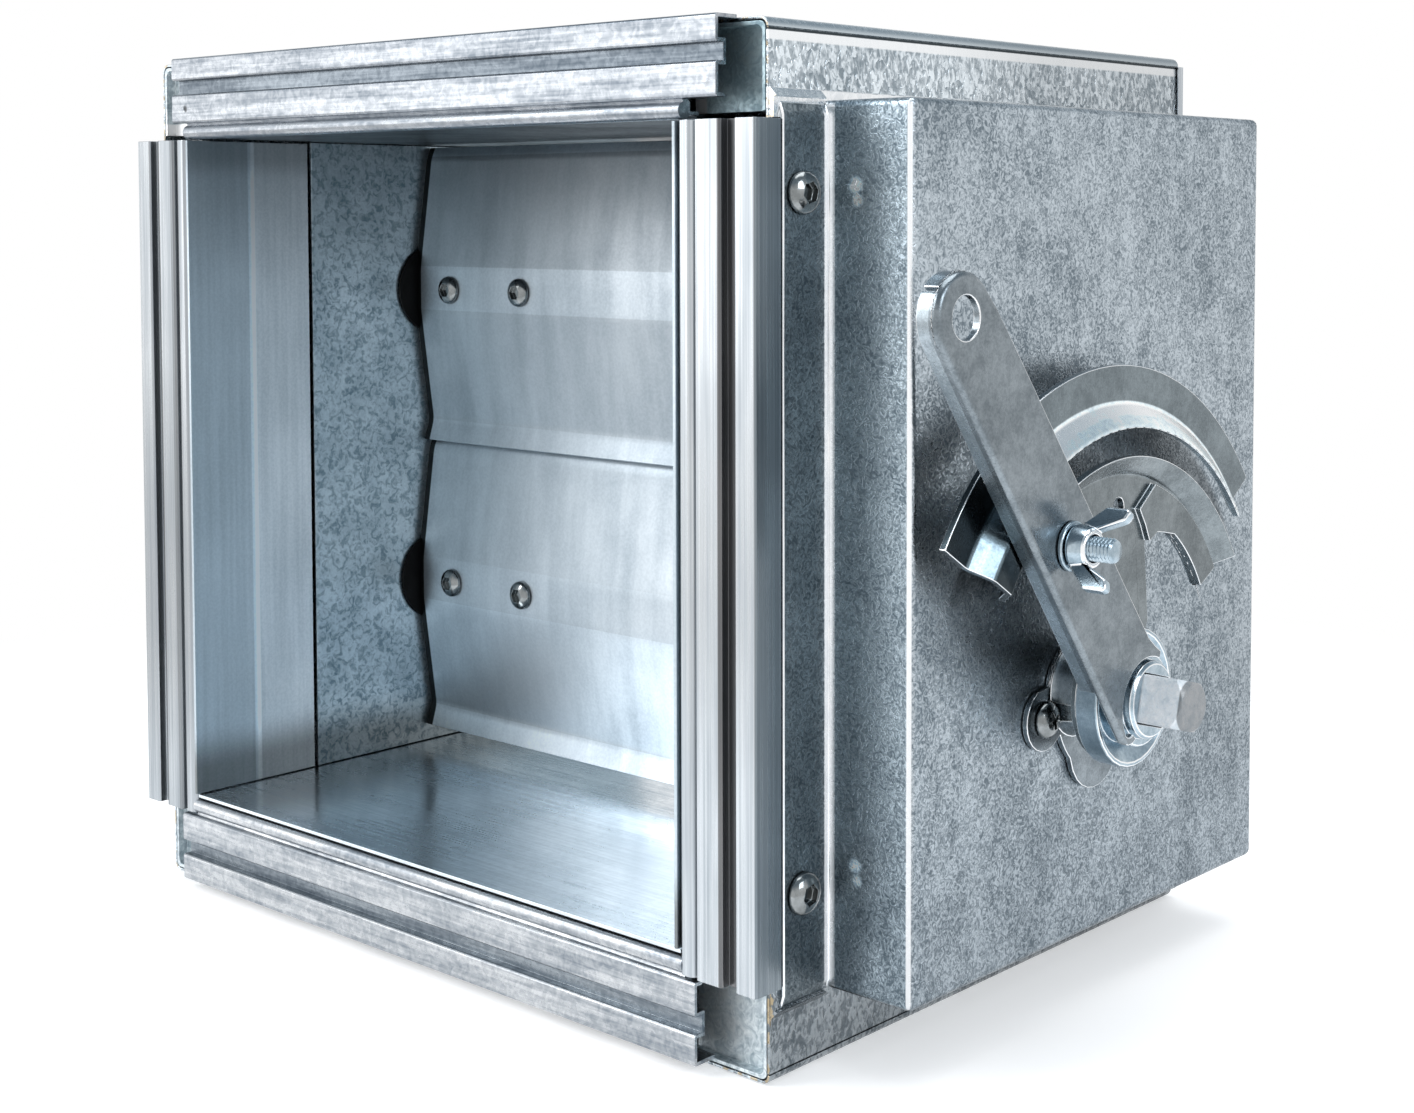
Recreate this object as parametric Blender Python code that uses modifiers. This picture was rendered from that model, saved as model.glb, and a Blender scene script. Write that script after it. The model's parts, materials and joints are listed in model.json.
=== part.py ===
"""Volume control damper for a square air duct, with two blades, a side linkage and a hand quadrant.

Axes: X across the duct, Y along the air path from the front flange to the rear one, Z up.
The origin is the middle of the casing's bottom face. Lengths are in metres.
"""

import math

import bmesh
import bpy
from mathutils import Matrix, Vector

MM = 0.001

# Clearances
SEAT_GAP = 0.3 * MM
RUNNING_GAP = 0.3 * MM
OPEN_PIVOT_GAP = 0.6 * MM

# Casing
CASING_WIDTH = 250.0 * MM
CASING_HEIGHT = 250.0 * MM
CASING_DEPTH = 180.0 * MM
CASING_SHEET = 0.7 * MM
CASING_CORNER_RADIUS = 2.4 * MM

# Air duct inside the casing, with the padding's space round it
SIDE_SPACE = 24.0 * MM
FLOOR_SPACE = 29.0 * MM
CEILING_SPACE = 23.0 * MM
DUCT_SHEET = 1.0 * MM
SLEEVE_DEPTH = 43.0 * MM
SLEEVE_JOINT = 1.4 * MM

# Front flange rails
RAIL_PROUD = 7.6 * MM
RAIL_OUTER_BAND = 6.6 * MM
RAIL_GROOVE_WIDTH = 4.2 * MM
RAIL_GROOVE_DEPTH = 2.6 * MM
RAIL_INNER_BAND = 8.4 * MM
RAIL_NOTCH_WIDTH = 0.7 * MM
RAIL_NOTCH_DEPTH = 1.6 * MM
RAIL_BEAD_RADIUS = 2.1 * MM
RAIL_BEAD_SET_BACK = 0.2 * MM
RAIL_EDGE = 0.5 * MM
RAIL_SHEET = 1.0 * MM
TOP_RAIL_RISE = 0.7 * MM
BOTTOM_RAIL_INSET = 2.2 * MM
BOTTOM_RAIL_OUTER_BAND = 7.7 * MM
SIDE_RAIL_PROUD = 2.6 * MM
SIDE_RAIL_LIP = 2.3 * MM
SIDE_RAIL_LIP_DEPTH = 9.0 * MM
SIDE_RAIL_LOW_SPACE = 23.4 * MM
SIDE_RAIL_HIGH_SPACE = 23.5 * MM
RAIL_LEFT_SPACE = 16.7 * MM
TOP_RAIL_RIGHT_SPACE = 9.5 * MM
BOTTOM_RAIL_RIGHT_SPACE = 17.1 * MM

# Corner plates behind the rails' ends
CORNER_SHEET = 1.2 * MM
CORNER_RECESS = 3.0 * MM
CORNER_RIM = 1.0 * MM

# Rear flange rails
REAR_SHEET = 1.0 * MM
REAR_LIP_PROUD = 0.9 * MM
REAR_LIP_SHEET = 0.6 * MM
REAR_LEG_DEPTH = 11.0 * MM
REAR_RAIL_MARGIN = 3.5 * MM

# Blades
BLADE_AXIS_DEPTH = 84.7 * MM
BLADE_FLOOR_GAP = 5.7 * MM
BLADE_CEILING_GAP = 0.8 * MM
BLADE_END_GAP = 1.5 * MM
BLADE_LAP = 0.7 * MM
BLADE_AXIS_RISE = 1.65 * MM
BLADE_SHEET = 1.2 * MM
BAND_HALF_HEIGHT = 6.8 * MM
LIP_WIDTH = 3.5 * MM
FOLD_FRONT = 2.6 * MM
TOP_LIP_FRONT = 1.0 * MM
BOTTOM_LIP_FRONT = 4.6 * MM
BLADE_FOLD = 1.6 * MM

# Shafts and bushes
SHAFT_SIDE = 12.0 * MM
SHAFT_EDGE = 0.8 * MM
SHAFT_OVERRUN_LEFT = 9.0 * MM
BUSH_FLANGE_RADIUS = 14.6 * MM
BUSH_FLANGE = 0.8 * MM
BUSH_RADIUS = 10.6 * MM
BUSH_LENGTH = 7.0 * MM

# Blade screws
BLADE_SCREW_RADIUS = 2.0 * MM
BLADE_SCREW_HEAD = 4.5 * MM
BLADE_SCREW_HEAD_HEIGHT = 2.4 * MM
BLADE_SCREW_LENGTH = 7.0 * MM
BLADE_SCREW_END_SPACE = 16.1 * MM
BLADE_SCREW_PITCH = 33.9 * MM
SOCKET_SHARE = 0.5
DOME_START = 12.0
DOME_FLAT_SHARE = 0.15

# Linkage inside the cover
CRANK_SHEET = 4.0 * MM
CRANK_SPACE = 5.0 * MM
CRANK_LENGTH = 30.0 * MM
CRANK_ANGLE = 45.0
CRANK_HUB_RADIUS = 12.5 * MM
CRANK_TIP_RADIUS = 7.5 * MM
PIN_RADIUS = 4.0 * MM
PIN_OVERRUN = 3.0 * MM
LINK_SHEET = 3.0 * MM
LINK_END_RADIUS = 8.0 * MM
LINK_HALF_WIDTH = 6.0 * MM

# Linkage cover
COVER_SHEET = 1.2 * MM
COVER_DEPTH = 27.5 * MM
COVER_FRONT_SPACE = 18.3 * MM
COVER_REAR_SPACE = 1.5 * MM
COVER_END_SPACE = 18.7 * MM
COVER_BEND = 1.8 * MM
STRIP_PROUD = 2.6 * MM
STRIP_FRONT_SPACE = 2.1 * MM
STRIP_LOW_SPACE = 21.4 * MM
STRIP_HIGH_SPACE = 22.6 * MM
STRIP_TAB = 3.2 * MM
STRIP_SCREW_INSET = 6.6 * MM
STRIP_SCREW_LOW_SPACE = 44.5 * MM
STRIP_SCREW_HIGH_SPACE = 40.5 * MM
STRIP_SCREW_RADIUS = 3.0 * MM
STRIP_SCREW_HEAD = 5.2 * MM
STRIP_SCREW_HEAD_HEIGHT = 3.0 * MM
STRIP_SCREW_LENGTH = 12.0 * MM
STRIP_SCREW_TURN = 15.0

# Pivot bracket on the cover's face
BRACKET_SHEET = 1.5 * MM
BRACKET_RADIUS = 20.0 * MM
BRACKET_DISTANCE = 11.5 * MM
BRACKET_ANGLE = 108.0
BRACKET_BOSS_RADIUS = 11.7 * MM
BRACKET_BOSS_EDGE = 0.5 * MM
BRACKET_BOSS_WALL_RISE = 2.0 * MM
BRACKET_FLARE = 0.4 * MM
BOSS_BORE_SPACE = 0.4 * MM
EAR_RADIUS = 8.0 * MM
EAR_DISTANCE = 15.4 * MM
EAR_ANGLES = (-112.0, 118.0)
TAIL_RADIUS = 11.0 * MM
TAIL_DISTANCE = 18.3 * MM
TAIL_ANGLE = 154.0
EAR_SCREW_RADIUS = 2.0 * MM
EAR_SCREW_HEAD = 4.6 * MM
EAR_SCREW_HEAD_HEIGHT = 2.6 * MM
EAR_SCREW_LENGTH = 8.0 * MM
CROSS_ARM = 2.3 * MM
CROSS_HALF_WIDTH = 0.55 * MM
CROSS_FLOOR = 1.0 * MM
CROSS_TURN = 25.0
STUB_HOLE_RADIUS = 9.4 * MM

# Quadrant
QUADRANT_SHEET = 1.8 * MM
QUADRANT_STAND_OFF = 12.0 * MM
QUADRANT_LIP_RISE = 4.8 * MM
QUADRANT_OUTER_RADIUS = 82.5 * MM
OUTER_BAND_WIDTH = 9.0 * MM
OUTER_SLOPE = 6.5 * MM
SLOT_WIDTH = 7.0 * MM
INNER_SLOPE = 5.5 * MM
OUTER_EASE = 1.2 * MM
INNER_EASE = 0.8 * MM
EASE_RISE = 0.45 * MM
HUB_RADIUS = 15.0 * MM
HUB_SEAT = 1.2 * MM
HUB_STEP = 0.15 * MM
QUADRANT_START = -57.3
OUTER_RIM_END = 54.5
QUADRANT_END = 61.5
SLOT_START = -42.0
WEB_START = -38.0
HOOK_WIDTH = 8.6 * MM
HOOK_TIP_ANGLE = 18.9
HOOK_BACK_ANGLE = 12.4
HOOK_BACK_DROP = 7.9 * MM
HOOK_HEEL_ANGLE = 21.9
HOOK_HEEL_DROP = 14.8 * MM
HOOK_THROAT_ANGLE = 29.4
HOOK_THROAT_DROP = 10.6 * MM
HOOK_LEG_ANGLE = 36.0
HOOK_RISE = 1.6 * MM
HOOK_THROAT_EASE = 1.0 * MM
WEB_EDGE_ANGLES = (62.0, 46.0, 30.0)
END_MARGIN = 3.0
MARK_HOLE_RADIUS = 2.6 * MM
MARK_HOLE_DROP = 7.9 * MM
MARK_HOLE_ANGLE = 3.0

# Drive stub and collar
STUB_TURN = 15.5
STUB_OVERHANG = 35.5 * MM
STUB_CHAMFER = 2.3 * MM
STUB_END_EASE = 0.2 * MM
COLLAR_RADIUS = 17.5 * MM
COLLAR_RIM = 6.5 * MM
COLLAR_RIM_WALL = 1.2 * MM
COLLAR_DISH_RADIUS = 11.6 * MM
COLLAR_DISH_DEPTH = 3.4 * MM
COLLAR_SEAT_RADIUS = 12.0 * MM
COLLAR_NECK_RADIUS = 9.8 * MM
COLLAR_NECK_RISE = 0.6 * MM
COLLAR_EDGE = 0.8 * MM

# Lever. Its middle line runs to the left of the shaft.
LEVER_ANGLE = -36.0
LEVER_STAND_OFF = 11.5 * MM
LEVER_SHEET = 2.0 * MM
LEVER_FLANGE_DEPTH = 6.2 * MM
LEVER_TIP_DISTANCE = 124.3 * MM
LEVER_MIDDLE = -5.0 * MM
LEVER_TIP_RADIUS = 10.2 * MM
LEVER_FOOT_WIDTH = 13.3 * MM
LEVER_STEP_HIGH = 13.5 * MM
LEVER_STEP_LOW = 5.8 * MM
LEVER_STEP_OUT = 2.1 * MM
LEVER_BEND = 1.5 * MM
JAW_RADIUS = 11.7 * MM
JAW_OFFSET = -1.5 * MM
JAW_WALL = 2.0 * MM
JAW_TOE_RADIUS = 2.3 * MM
JAW_TOE_RISE = 1.5 * MM
JAW_TOE_SPREAD = 9.0
JAW_TOE_END = 275.0
LEVER_TIP_HOLE_RADIUS = 5.0 * MM
LEVER_FLANGE_START = 17.5 * MM
TAB_SLIT_ANGLE = 14.0
TAB_SLIT_WIDTH = 1.0 * MM
TAB_END_ANGLE = -85.0

# Clamp bolt, washer and wing nut
BOLT_DISTANCE = 55.8 * MM
BOLT_ASIDE = 1.0 * MM
BOLT_RADIUS = 3.0 * MM
BOLT_OVERHANG = 12.5 * MM
BOLT_HEAD_RADIUS = 5.5 * MM
BOLT_HEAD = 2.4 * MM
BOLT_EDGE = 0.6 * MM
WASHER_RADIUS = 6.0 * MM
WASHER = 1.0 * MM
WASHER_EDGE = 0.3 * MM
NUT_RADIUS = 5.5 * MM
NUT_WAIST = 4.7 * MM
NUT_HEIGHT = 5.0 * MM
NUT_EDGE = 1.0 * MM
WING_SPAN = 10.5 * MM
WING_RISE = 12.0 * MM
WING_WIDTH = 6.4 * MM
WING_SHEET = 2.8 * MM
WING_EDGE = 0.9 * MM
WING_FOOT = 0.4 * MM
WING_TURN = 32.0

ROUND_STEPS = 32
SMALL_STEPS = 16
DIAL_STEPS = 36

# Places that follow from the sizes above
CUT = 1.0 * MM
HALF_WIDTH = CASING_WIDTH / 2
FRONT_Y = -CASING_DEPTH / 2
REAR_Y = CASING_DEPTH / 2
FRONT_PLANE_Y = FRONT_Y - RAIL_PROUD
DUCT_WIDTH = CASING_WIDTH - 2 * SIDE_SPACE
DUCT_HALF = DUCT_WIDTH / 2
DUCT_FLOOR_Z = FLOOR_SPACE
DUCT_CEILING_Z = CASING_HEIGHT - CEILING_SPACE
SIDE_RAIL_LOW_Z = SIDE_RAIL_LOW_SPACE
SIDE_RAIL_HIGH_Z = CASING_HEIGHT - SIDE_RAIL_HIGH_SPACE
RAIL_LEFT_X = -HALF_WIDTH + RAIL_LEFT_SPACE
TOP_RAIL_RIGHT_X = HALF_WIDTH - TOP_RAIL_RIGHT_SPACE
BOTTOM_RAIL_RIGHT_X = HALF_WIDTH - BOTTOM_RAIL_RIGHT_SPACE
BLADE_AXIS_Y = FRONT_Y + BLADE_AXIS_DEPTH
BLADE_STACK = DUCT_CEILING_Z - BLADE_CEILING_GAP - DUCT_FLOOR_Z - BLADE_FLOOR_GAP
BLADE_PITCH = (BLADE_STACK - BLADE_LAP) / 2
TOP_LIP_HEIGHT = (BLADE_PITCH + BLADE_LAP) / 2 - BLADE_AXIS_RISE
BOTTOM_LIP_HEIGHT = (BLADE_PITCH + BLADE_LAP) / 2 + BLADE_AXIS_RISE
FOLD_HEIGHT = TOP_LIP_HEIGHT - LIP_WIDTH
UPPER_AXIS_Z = DUCT_CEILING_Z - BLADE_CEILING_GAP - TOP_LIP_HEIGHT
LOWER_AXIS_Z = UPPER_AXIS_Z - BLADE_PITCH
BLADE_END_X = DUCT_HALF - BLADE_END_GAP
BLADE_SCREW_OUTER_X = BLADE_END_X - BLADE_SCREW_END_SPACE
BLADE_SCREW_INNER_X = BLADE_SCREW_OUTER_X - BLADE_SCREW_PITCH
SHAFT_HALF = SHAFT_SIDE / 2
BAND_FRONT = SHAFT_HALF + SEAT_GAP + BLADE_SHEET
CRANK_X = HALF_WIDTH + CRANK_SPACE
SHAFT_LEFT_X = -DUCT_HALF - DUCT_SHEET - SHAFT_OVERRUN_LEFT
SHAFT_RIGHT_X = CRANK_X + CRANK_SHEET + SEAT_GAP
LOWER_AXIS = Vector((0.0, BLADE_AXIS_Y, LOWER_AXIS_Z))
UPPER_AXIS = Vector((0.0, BLADE_AXIS_Y, UPPER_AXIS_Z))
COVER_FACE_X = HALF_WIDTH + COVER_DEPTH
COVER_FRONT_Y = FRONT_Y + COVER_FRONT_SPACE
COVER_REAR_Y = REAR_Y - COVER_REAR_SPACE
COVER_LOW_Z = COVER_END_SPACE
COVER_HIGH_Z = CASING_HEIGHT - COVER_END_SPACE
STRIP_X = HALF_WIDTH + STRIP_PROUD
STRIP_FRONT_Y = FRONT_Y + STRIP_FRONT_SPACE
STRIP_LOW_Z = STRIP_LOW_SPACE
STRIP_HIGH_Z = CASING_HEIGHT - STRIP_HIGH_SPACE
STRIP_SCREW_Y = STRIP_FRONT_Y + STRIP_SCREW_INSET
STRIP_SCREW_LOW_Z = STRIP_SCREW_LOW_SPACE
STRIP_SCREW_HIGH_Z = CASING_HEIGHT - STRIP_SCREW_HIGH_SPACE
BRACKET_X = COVER_FACE_X + SEAT_GAP
QUADRANT_X = COVER_FACE_X + QUADRANT_STAND_OFF
QUADRANT_BACK_X = QUADRANT_X - QUADRANT_SHEET
QUADRANT_LIP_X = QUADRANT_X + QUADRANT_LIP_RISE
BAND_INNER_RADIUS = QUADRANT_OUTER_RADIUS - OUTER_BAND_WIDTH
OUTER_LIP_RADIUS = BAND_INNER_RADIUS - OUTER_SLOPE
INNER_LIP_RADIUS = OUTER_LIP_RADIUS - SLOT_WIDTH
INNER_PLATE_RADIUS = INNER_LIP_RADIUS - INNER_SLOPE
COLLAR_X = QUADRANT_X + SEAT_GAP
STUB_END_X = COVER_FACE_X + STUB_OVERHANG
LEVER_FACE_X = QUADRANT_X + LEVER_STAND_OFF
LEVER_BACK_X = LEVER_FACE_X - LEVER_SHEET
LEVER_FLANGE_END_X = LEVER_FACE_X - LEVER_FLANGE_DEPTH
LEVER_LEFT = LEVER_MIDDLE - LEVER_TIP_RADIUS
BOLT_OFFSET = LEVER_MIDDLE + BOLT_ASIDE
BOLT_END_X = LEVER_FACE_X + BOLT_OVERHANG


def clear_scene():
    for old in list(bpy.data.objects):
        bpy.data.objects.remove(old, do_unlink=True)


clear_scene()
PARTS = bpy.data.collections.new("volume_control_damper")
bpy.context.scene.collection.children.link(PARTS)
CUTTERS = bpy.data.collections.new("cutters")
bpy.context.scene.collection.children.link(CUTTERS)


def material(name, colour, roughness, metallic):
    made = bpy.data.materials.new(name)
    made.use_nodes = True
    shader = made.node_tree.nodes["Principled BSDF"]
    shader.inputs["Base Color"].default_value = (*colour, 1.0)
    shader.inputs["Roughness"].default_value = roughness
    shader.inputs["Metallic"].default_value = metallic
    return made


GALVANISED = material("galvanised_sheet", (0.42, 0.46, 0.48), 0.42, 1.0)
ALUMINIUM = material("rail_aluminium", (0.60, 0.60, 0.60), 0.38, 1.0)
STAINLESS = material("satin_steel", (0.55, 0.57, 0.58), 0.30, 1.0)
PRESSED_STEEL = material("pressed_steel", (0.38, 0.37, 0.36), 0.40, 1.0)
ZINC = material("zinc_fastener", (0.52, 0.58, 0.62), 0.28, 1.0)
NYLON = material("black_nylon", (0.015, 0.016, 0.018), 0.5, 0.0)


# Shared tools


def axis_frame(axis, turn=0.0, centre=(0.0, 0.0, 0.0)):
    """Local z becomes the named axis, and local x and y the two others, right handed."""
    columns = {
        "X": (Vector((0, 1, 0)), Vector((0, 0, 1)), Vector((1, 0, 0))),
        "Y": (Vector((0, 0, 1)), Vector((1, 0, 0)), Vector((0, 1, 0))),
        "Z": (Vector((1, 0, 0)), Vector((0, 1, 0)), Vector((0, 0, 1))),
    }[axis]
    frame = Matrix(columns).transposed().to_4x4()
    return Matrix.Translation(centre) @ frame @ Matrix.Rotation(turn, 4, "Z")


def add_object(name, mesh, colour, collection=PARTS):
    made = bpy.data.objects.new(name, mesh)
    collection.objects.link(made)
    if colour is not None:
        mesh.materials.clear()
        mesh.materials.append(colour)
    if collection is CUTTERS:
        made.hide_render = True
        made.display_type = "WIRE"
    return made


def outline_mesh(name, outlines, low, high):
    """A flat outline, with further closed outlines as its holes, filled and extruded from low to high."""
    curve = bpy.data.curves.new(name + "_outline", "CURVE")
    curve.dimensions = "2D"
    curve.fill_mode = "BOTH"
    curve.extrude = (high - low) / 2
    for outline in outlines:
        spline = curve.splines.new("POLY")
        spline.points.add(len(outline) - 1)
        for point, (along, across) in zip(spline.points, outline):
            point.co = (along, across, 0.0, 1.0)
        spline.use_cyclic_u = True
    flat = bpy.data.objects.new(name + "_outline", curve)
    bpy.context.scene.collection.objects.link(flat)
    bpy.context.view_layer.update()
    evaluated = flat.evaluated_get(bpy.context.evaluated_depsgraph_get())
    mesh = bpy.data.meshes.new_from_object(evaluated)
    bpy.data.objects.remove(flat, do_unlink=True)
    bpy.data.curves.remove(curve)
    work = bmesh.new()
    work.from_mesh(mesh)
    bmesh.ops.translate(work, verts=work.verts, vec=(0, 0, (high + low) / 2))
    bmesh.ops.remove_doubles(work, verts=work.verts, dist=0.00001)
    bmesh.ops.recalc_face_normals(work, faces=work.faces)
    work.to_mesh(mesh)
    work.free()
    mesh.name = name
    return mesh


def plate(name, outlines, low, high, axis, colour, centre=(0, 0, 0), turn=0.0, collection=PARTS):
    """An extruded outline whose thickness runs from low to high along the axis."""
    made = add_object(name, outline_mesh(name, outlines, low, high), colour, collection)
    made.matrix_world = axis_frame(axis, turn, centre)
    return made


def box_mesh(name, low, high):
    work = bmesh.new()
    bmesh.ops.create_cube(work, size=1.0)
    middle = (Vector(low) + Vector(high)) / 2
    bmesh.ops.scale(work, vec=Vector(high) - Vector(low), verts=work.verts)
    bmesh.ops.translate(work, vec=middle, verts=work.verts)
    mesh = bpy.data.meshes.new(name)
    work.to_mesh(mesh)
    work.free()
    return mesh


def box(name, low, high, colour, collection=PARTS):
    return add_object(name, box_mesh(name, low, high), colour, collection)


def turned(name, profile, axis, colour, centre=(0, 0, 0), turn=0.0, steps=ROUND_STEPS, collection=PARTS):
    """A solid of revolution. The profile lists (radius, height) points down its outer side."""
    work = bmesh.new()
    points = [work.verts.new((radius, 0.0, height)) for radius, height in profile]
    for first, second in zip(points, points[1:]):
        work.edges.new((first, second))
    if profile[0][0] > 0:
        work.edges.new((points[-1], points[0]))
    mesh = bpy.data.meshes.new(name)
    work.to_mesh(mesh)
    work.free()
    made = add_object(name, mesh, colour, collection)
    made.matrix_world = axis_frame(axis, turn, centre)
    screw = made.modifiers.new("turn", "SCREW")
    screw.steps = steps
    screw.render_steps = steps
    screw.use_merge_vertices = True
    screw.merge_threshold = 0.00001
    screw.use_smooth_shade = False
    return made


def drum(name, radius, low, high, axis, colour, centre=(0, 0, 0), steps=ROUND_STEPS, collection=PARTS):
    profile = [(0.0, high), (radius, high), (radius, low), (0.0, low)]
    return turned(name, profile, axis, colour, centre, 0.0, steps, collection)


def combine(target, other, operation):
    """Applies one Boolean to the target and removes the other object."""
    modifier = target.modifiers.new("combine", "BOOLEAN")
    modifier.operation = operation
    modifier.solver = "EXACT"
    modifier.object = other
    bake(target)
    bpy.data.objects.remove(other, do_unlink=True)
    return target


def bake(target):
    """The evaluated mesh takes the place of the mesh and its modifiers."""
    bpy.context.view_layer.update()
    evaluated = target.evaluated_get(bpy.context.evaluated_depsgraph_get())
    mesh = bpy.data.meshes.new_from_object(evaluated)
    target.modifiers.clear()
    target.data = mesh
    mesh.name = target.name
    return target


def cut(target, other):
    return combine(target, other, "DIFFERENCE")


def join(target, other):
    return combine(target, other, "UNION")


def cut_drum(target, radius, low, high, axis, centre, steps=ROUND_STEPS):
    return cut(target, drum("cutter", radius, low, high, axis, None, centre, steps, CUTTERS))


def rounded(target, width, segments=2, angle=40.0):
    """Rounds the edges sharper than the angle."""
    bevel = target.modifiers.new("edges", "BEVEL")
    bevel.width = width
    bevel.segments = segments
    bevel.limit_method = "ANGLE"
    bevel.angle_limit = math.radians(angle)
    return target


def smooth(target, angle=35.0):
    bake(target)
    target.data.shade_smooth()
    target.data.set_sharp_from_angle(angle=math.radians(angle))
    return target


def arc(centre, radius, start, end, steps):
    """Points round a centre, with angles in degrees from the first local axis towards the second."""
    return [
        (
            centre[0] + radius * math.cos(math.radians(start + (end - start) * step / steps)),
            centre[1] + radius * math.sin(math.radians(start + (end - start) * step / steps)),
        )
        for step in range(steps + 1)
    ]


def circle(centre, radius, steps=ROUND_STEPS):
    return arc(centre, radius, 0.0, 360.0, steps)[:-1]


def rounded_square(half, edge, steps=3):
    corners = []
    for index, (along, across) in enumerate(((1, 1), (-1, 1), (-1, -1), (1, -1))):
        centre = (along * (half - edge), across * (half - edge))
        corners += arc(centre, edge, 90.0 * index, 90.0 * index + 90.0, steps)
    return corners


def lobed_outline(discs, steps):
    """The outer outline of overlapping discs round the origin, read ray by ray from it."""
    points = []
    for step in range(steps):
        angle = 2 * math.pi * step / steps
        ray = Vector((math.cos(angle), math.sin(angle)))
        reach = 0.0
        for centre, radius in discs:
            along = ray.dot(Vector(centre))
            aside = ray.cross(Vector(centre))
            if abs(aside) < radius:
                reach = max(reach, along + math.sqrt(radius**2 - aside**2))
        points.append((ray.x * reach, ray.y * reach))
    return points


def on_dial(radius, angle):
    """A place on the dial as (Y, Z). The angle is from straight up, positive towards the rear."""
    return radius * math.sin(math.radians(angle)), radius * math.cos(math.radians(angle))


def dial_sector(inner, outer, start, end, steps):
    """An annular sector of the dial as a closed outline."""
    angles = [start + (end - start) * step / steps for step in range(steps + 1)]
    outside = [on_dial(outer, angle) for angle in angles]
    inside = [on_dial(inner, angle) for angle in reversed(angles)]
    return outside + inside


def dial_centre():
    return (0.0, BLADE_AXIS_Y, LOWER_AXIS_Z)


def dial_place(radius, angle):
    """The world place, at X nought, of a dial place."""
    out, high = on_dial(radius, angle)
    return (0.0, BLADE_AXIS_Y + out, LOWER_AXIS_Z + high)


# Casing


def casing_cap(name, sign):
    """The top or bottom sheet, whose two rounded ends turn towards the other."""
    middle = CASING_HEIGHT / 2
    outer_z = middle + sign * middle
    radius = CASING_CORNER_RADIUS
    inner = radius - CASING_SHEET
    outline = []
    right = (HALF_WIDTH - radius, outer_z - sign * radius)
    left = (-HALF_WIDTH + radius, outer_z - sign * radius)
    outline += arc(left, radius, 180.0, 180.0 - sign * 90.0, 5)
    outline += arc(right, radius, sign * 90.0, 0.0, 5)
    outline += arc(right, inner, 0.0, sign * 90.0, 5)
    outline += arc(left, inner, 180.0 - sign * 90.0, 180.0, 5)
    swapped = [(height, across) for across, height in outline]
    return smooth(plate(name, [swapped], FRONT_Y, REAR_Y, "Y", GALVANISED))


def build_casing():
    casing_cap("bottom_casing_panel", -1)
    casing_cap("top_casing_panel", 1)
    low = CASING_CORNER_RADIUS + SEAT_GAP
    high = CASING_HEIGHT - CASING_CORNER_RADIUS - SEAT_GAP
    box(
        "left_casing_panel",
        (-HALF_WIDTH, FRONT_Y, low),
        (-HALF_WIDTH + CASING_SHEET, REAR_Y, high),
        GALVANISED,
    )
    right = box(
        "right_casing_panel",
        (HALF_WIDTH - CASING_SHEET, FRONT_Y, low),
        (HALF_WIDTH, REAR_Y, high),
        GALVANISED,
    )
    hole = BUSH_RADIUS + RUNNING_GAP
    for axis in (LOWER_AXIS, UPPER_AXIS):
        cut_drum(right, hole, HALF_WIDTH - 2 * CUT, HALF_WIDTH + CUT, "X", axis)
    for height in (STRIP_SCREW_LOW_Z, STRIP_SCREW_HIGH_Z):
        cut_drum(
            right,
            STRIP_SCREW_RADIUS + SEAT_GAP,
            HALF_WIDTH - 2 * CUT,
            HALF_WIDTH + CUT,
            "X",
            (0, STRIP_SCREW_Y, height),
            SMALL_STEPS,
        )


def build_duct():
    start = FRONT_Y
    box(
        "duct_floor",
        (-DUCT_HALF - DUCT_SHEET, start, DUCT_FLOOR_Z - DUCT_SHEET),
        (DUCT_HALF + DUCT_SHEET, REAR_Y, DUCT_FLOOR_Z),
        STAINLESS,
    )
    box(
        "duct_ceiling",
        (-DUCT_HALF - DUCT_SHEET, start, DUCT_CEILING_Z),
        (DUCT_HALF + DUCT_SHEET, REAR_Y, DUCT_CEILING_Z + DUCT_SHEET),
        GALVANISED,
    )
    wall_start = FRONT_PLANE_Y + SLEEVE_DEPTH + SLEEVE_JOINT
    low = DUCT_FLOOR_Z + SEAT_GAP
    high = DUCT_CEILING_Z - SEAT_GAP
    sleeve_low = max(low, BOTTOM_RAIL_INSET + rail_reach(BOTTOM_RAIL_OUTER_BAND) + SEAT_GAP)
    sleeve_high = min(high, CASING_HEIGHT + TOP_RAIL_RISE - rail_reach(RAIL_OUTER_BAND) - SEAT_GAP)
    for side, sign in (("left", -1), ("right", 1)):
        near, far = sorted((sign * DUCT_HALF, sign * (DUCT_HALF + DUCT_SHEET)))
        wall = box(side + "_duct_wall", (near, wall_start, low), (far, REAR_Y, high), GALVANISED)
        box(
            side + "_front_sleeve",
            (near, FRONT_PLANE_Y + SEAT_GAP, sleeve_low),
            (far, FRONT_PLANE_Y + SLEEVE_DEPTH, sleeve_high),
            GALVANISED,
        )
        for axis in (LOWER_AXIS, UPPER_AXIS):
            cut_drum(wall, BUSH_RADIUS + RUNNING_GAP, near - CUT, far + CUT, "X", axis)


# Front flange


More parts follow.
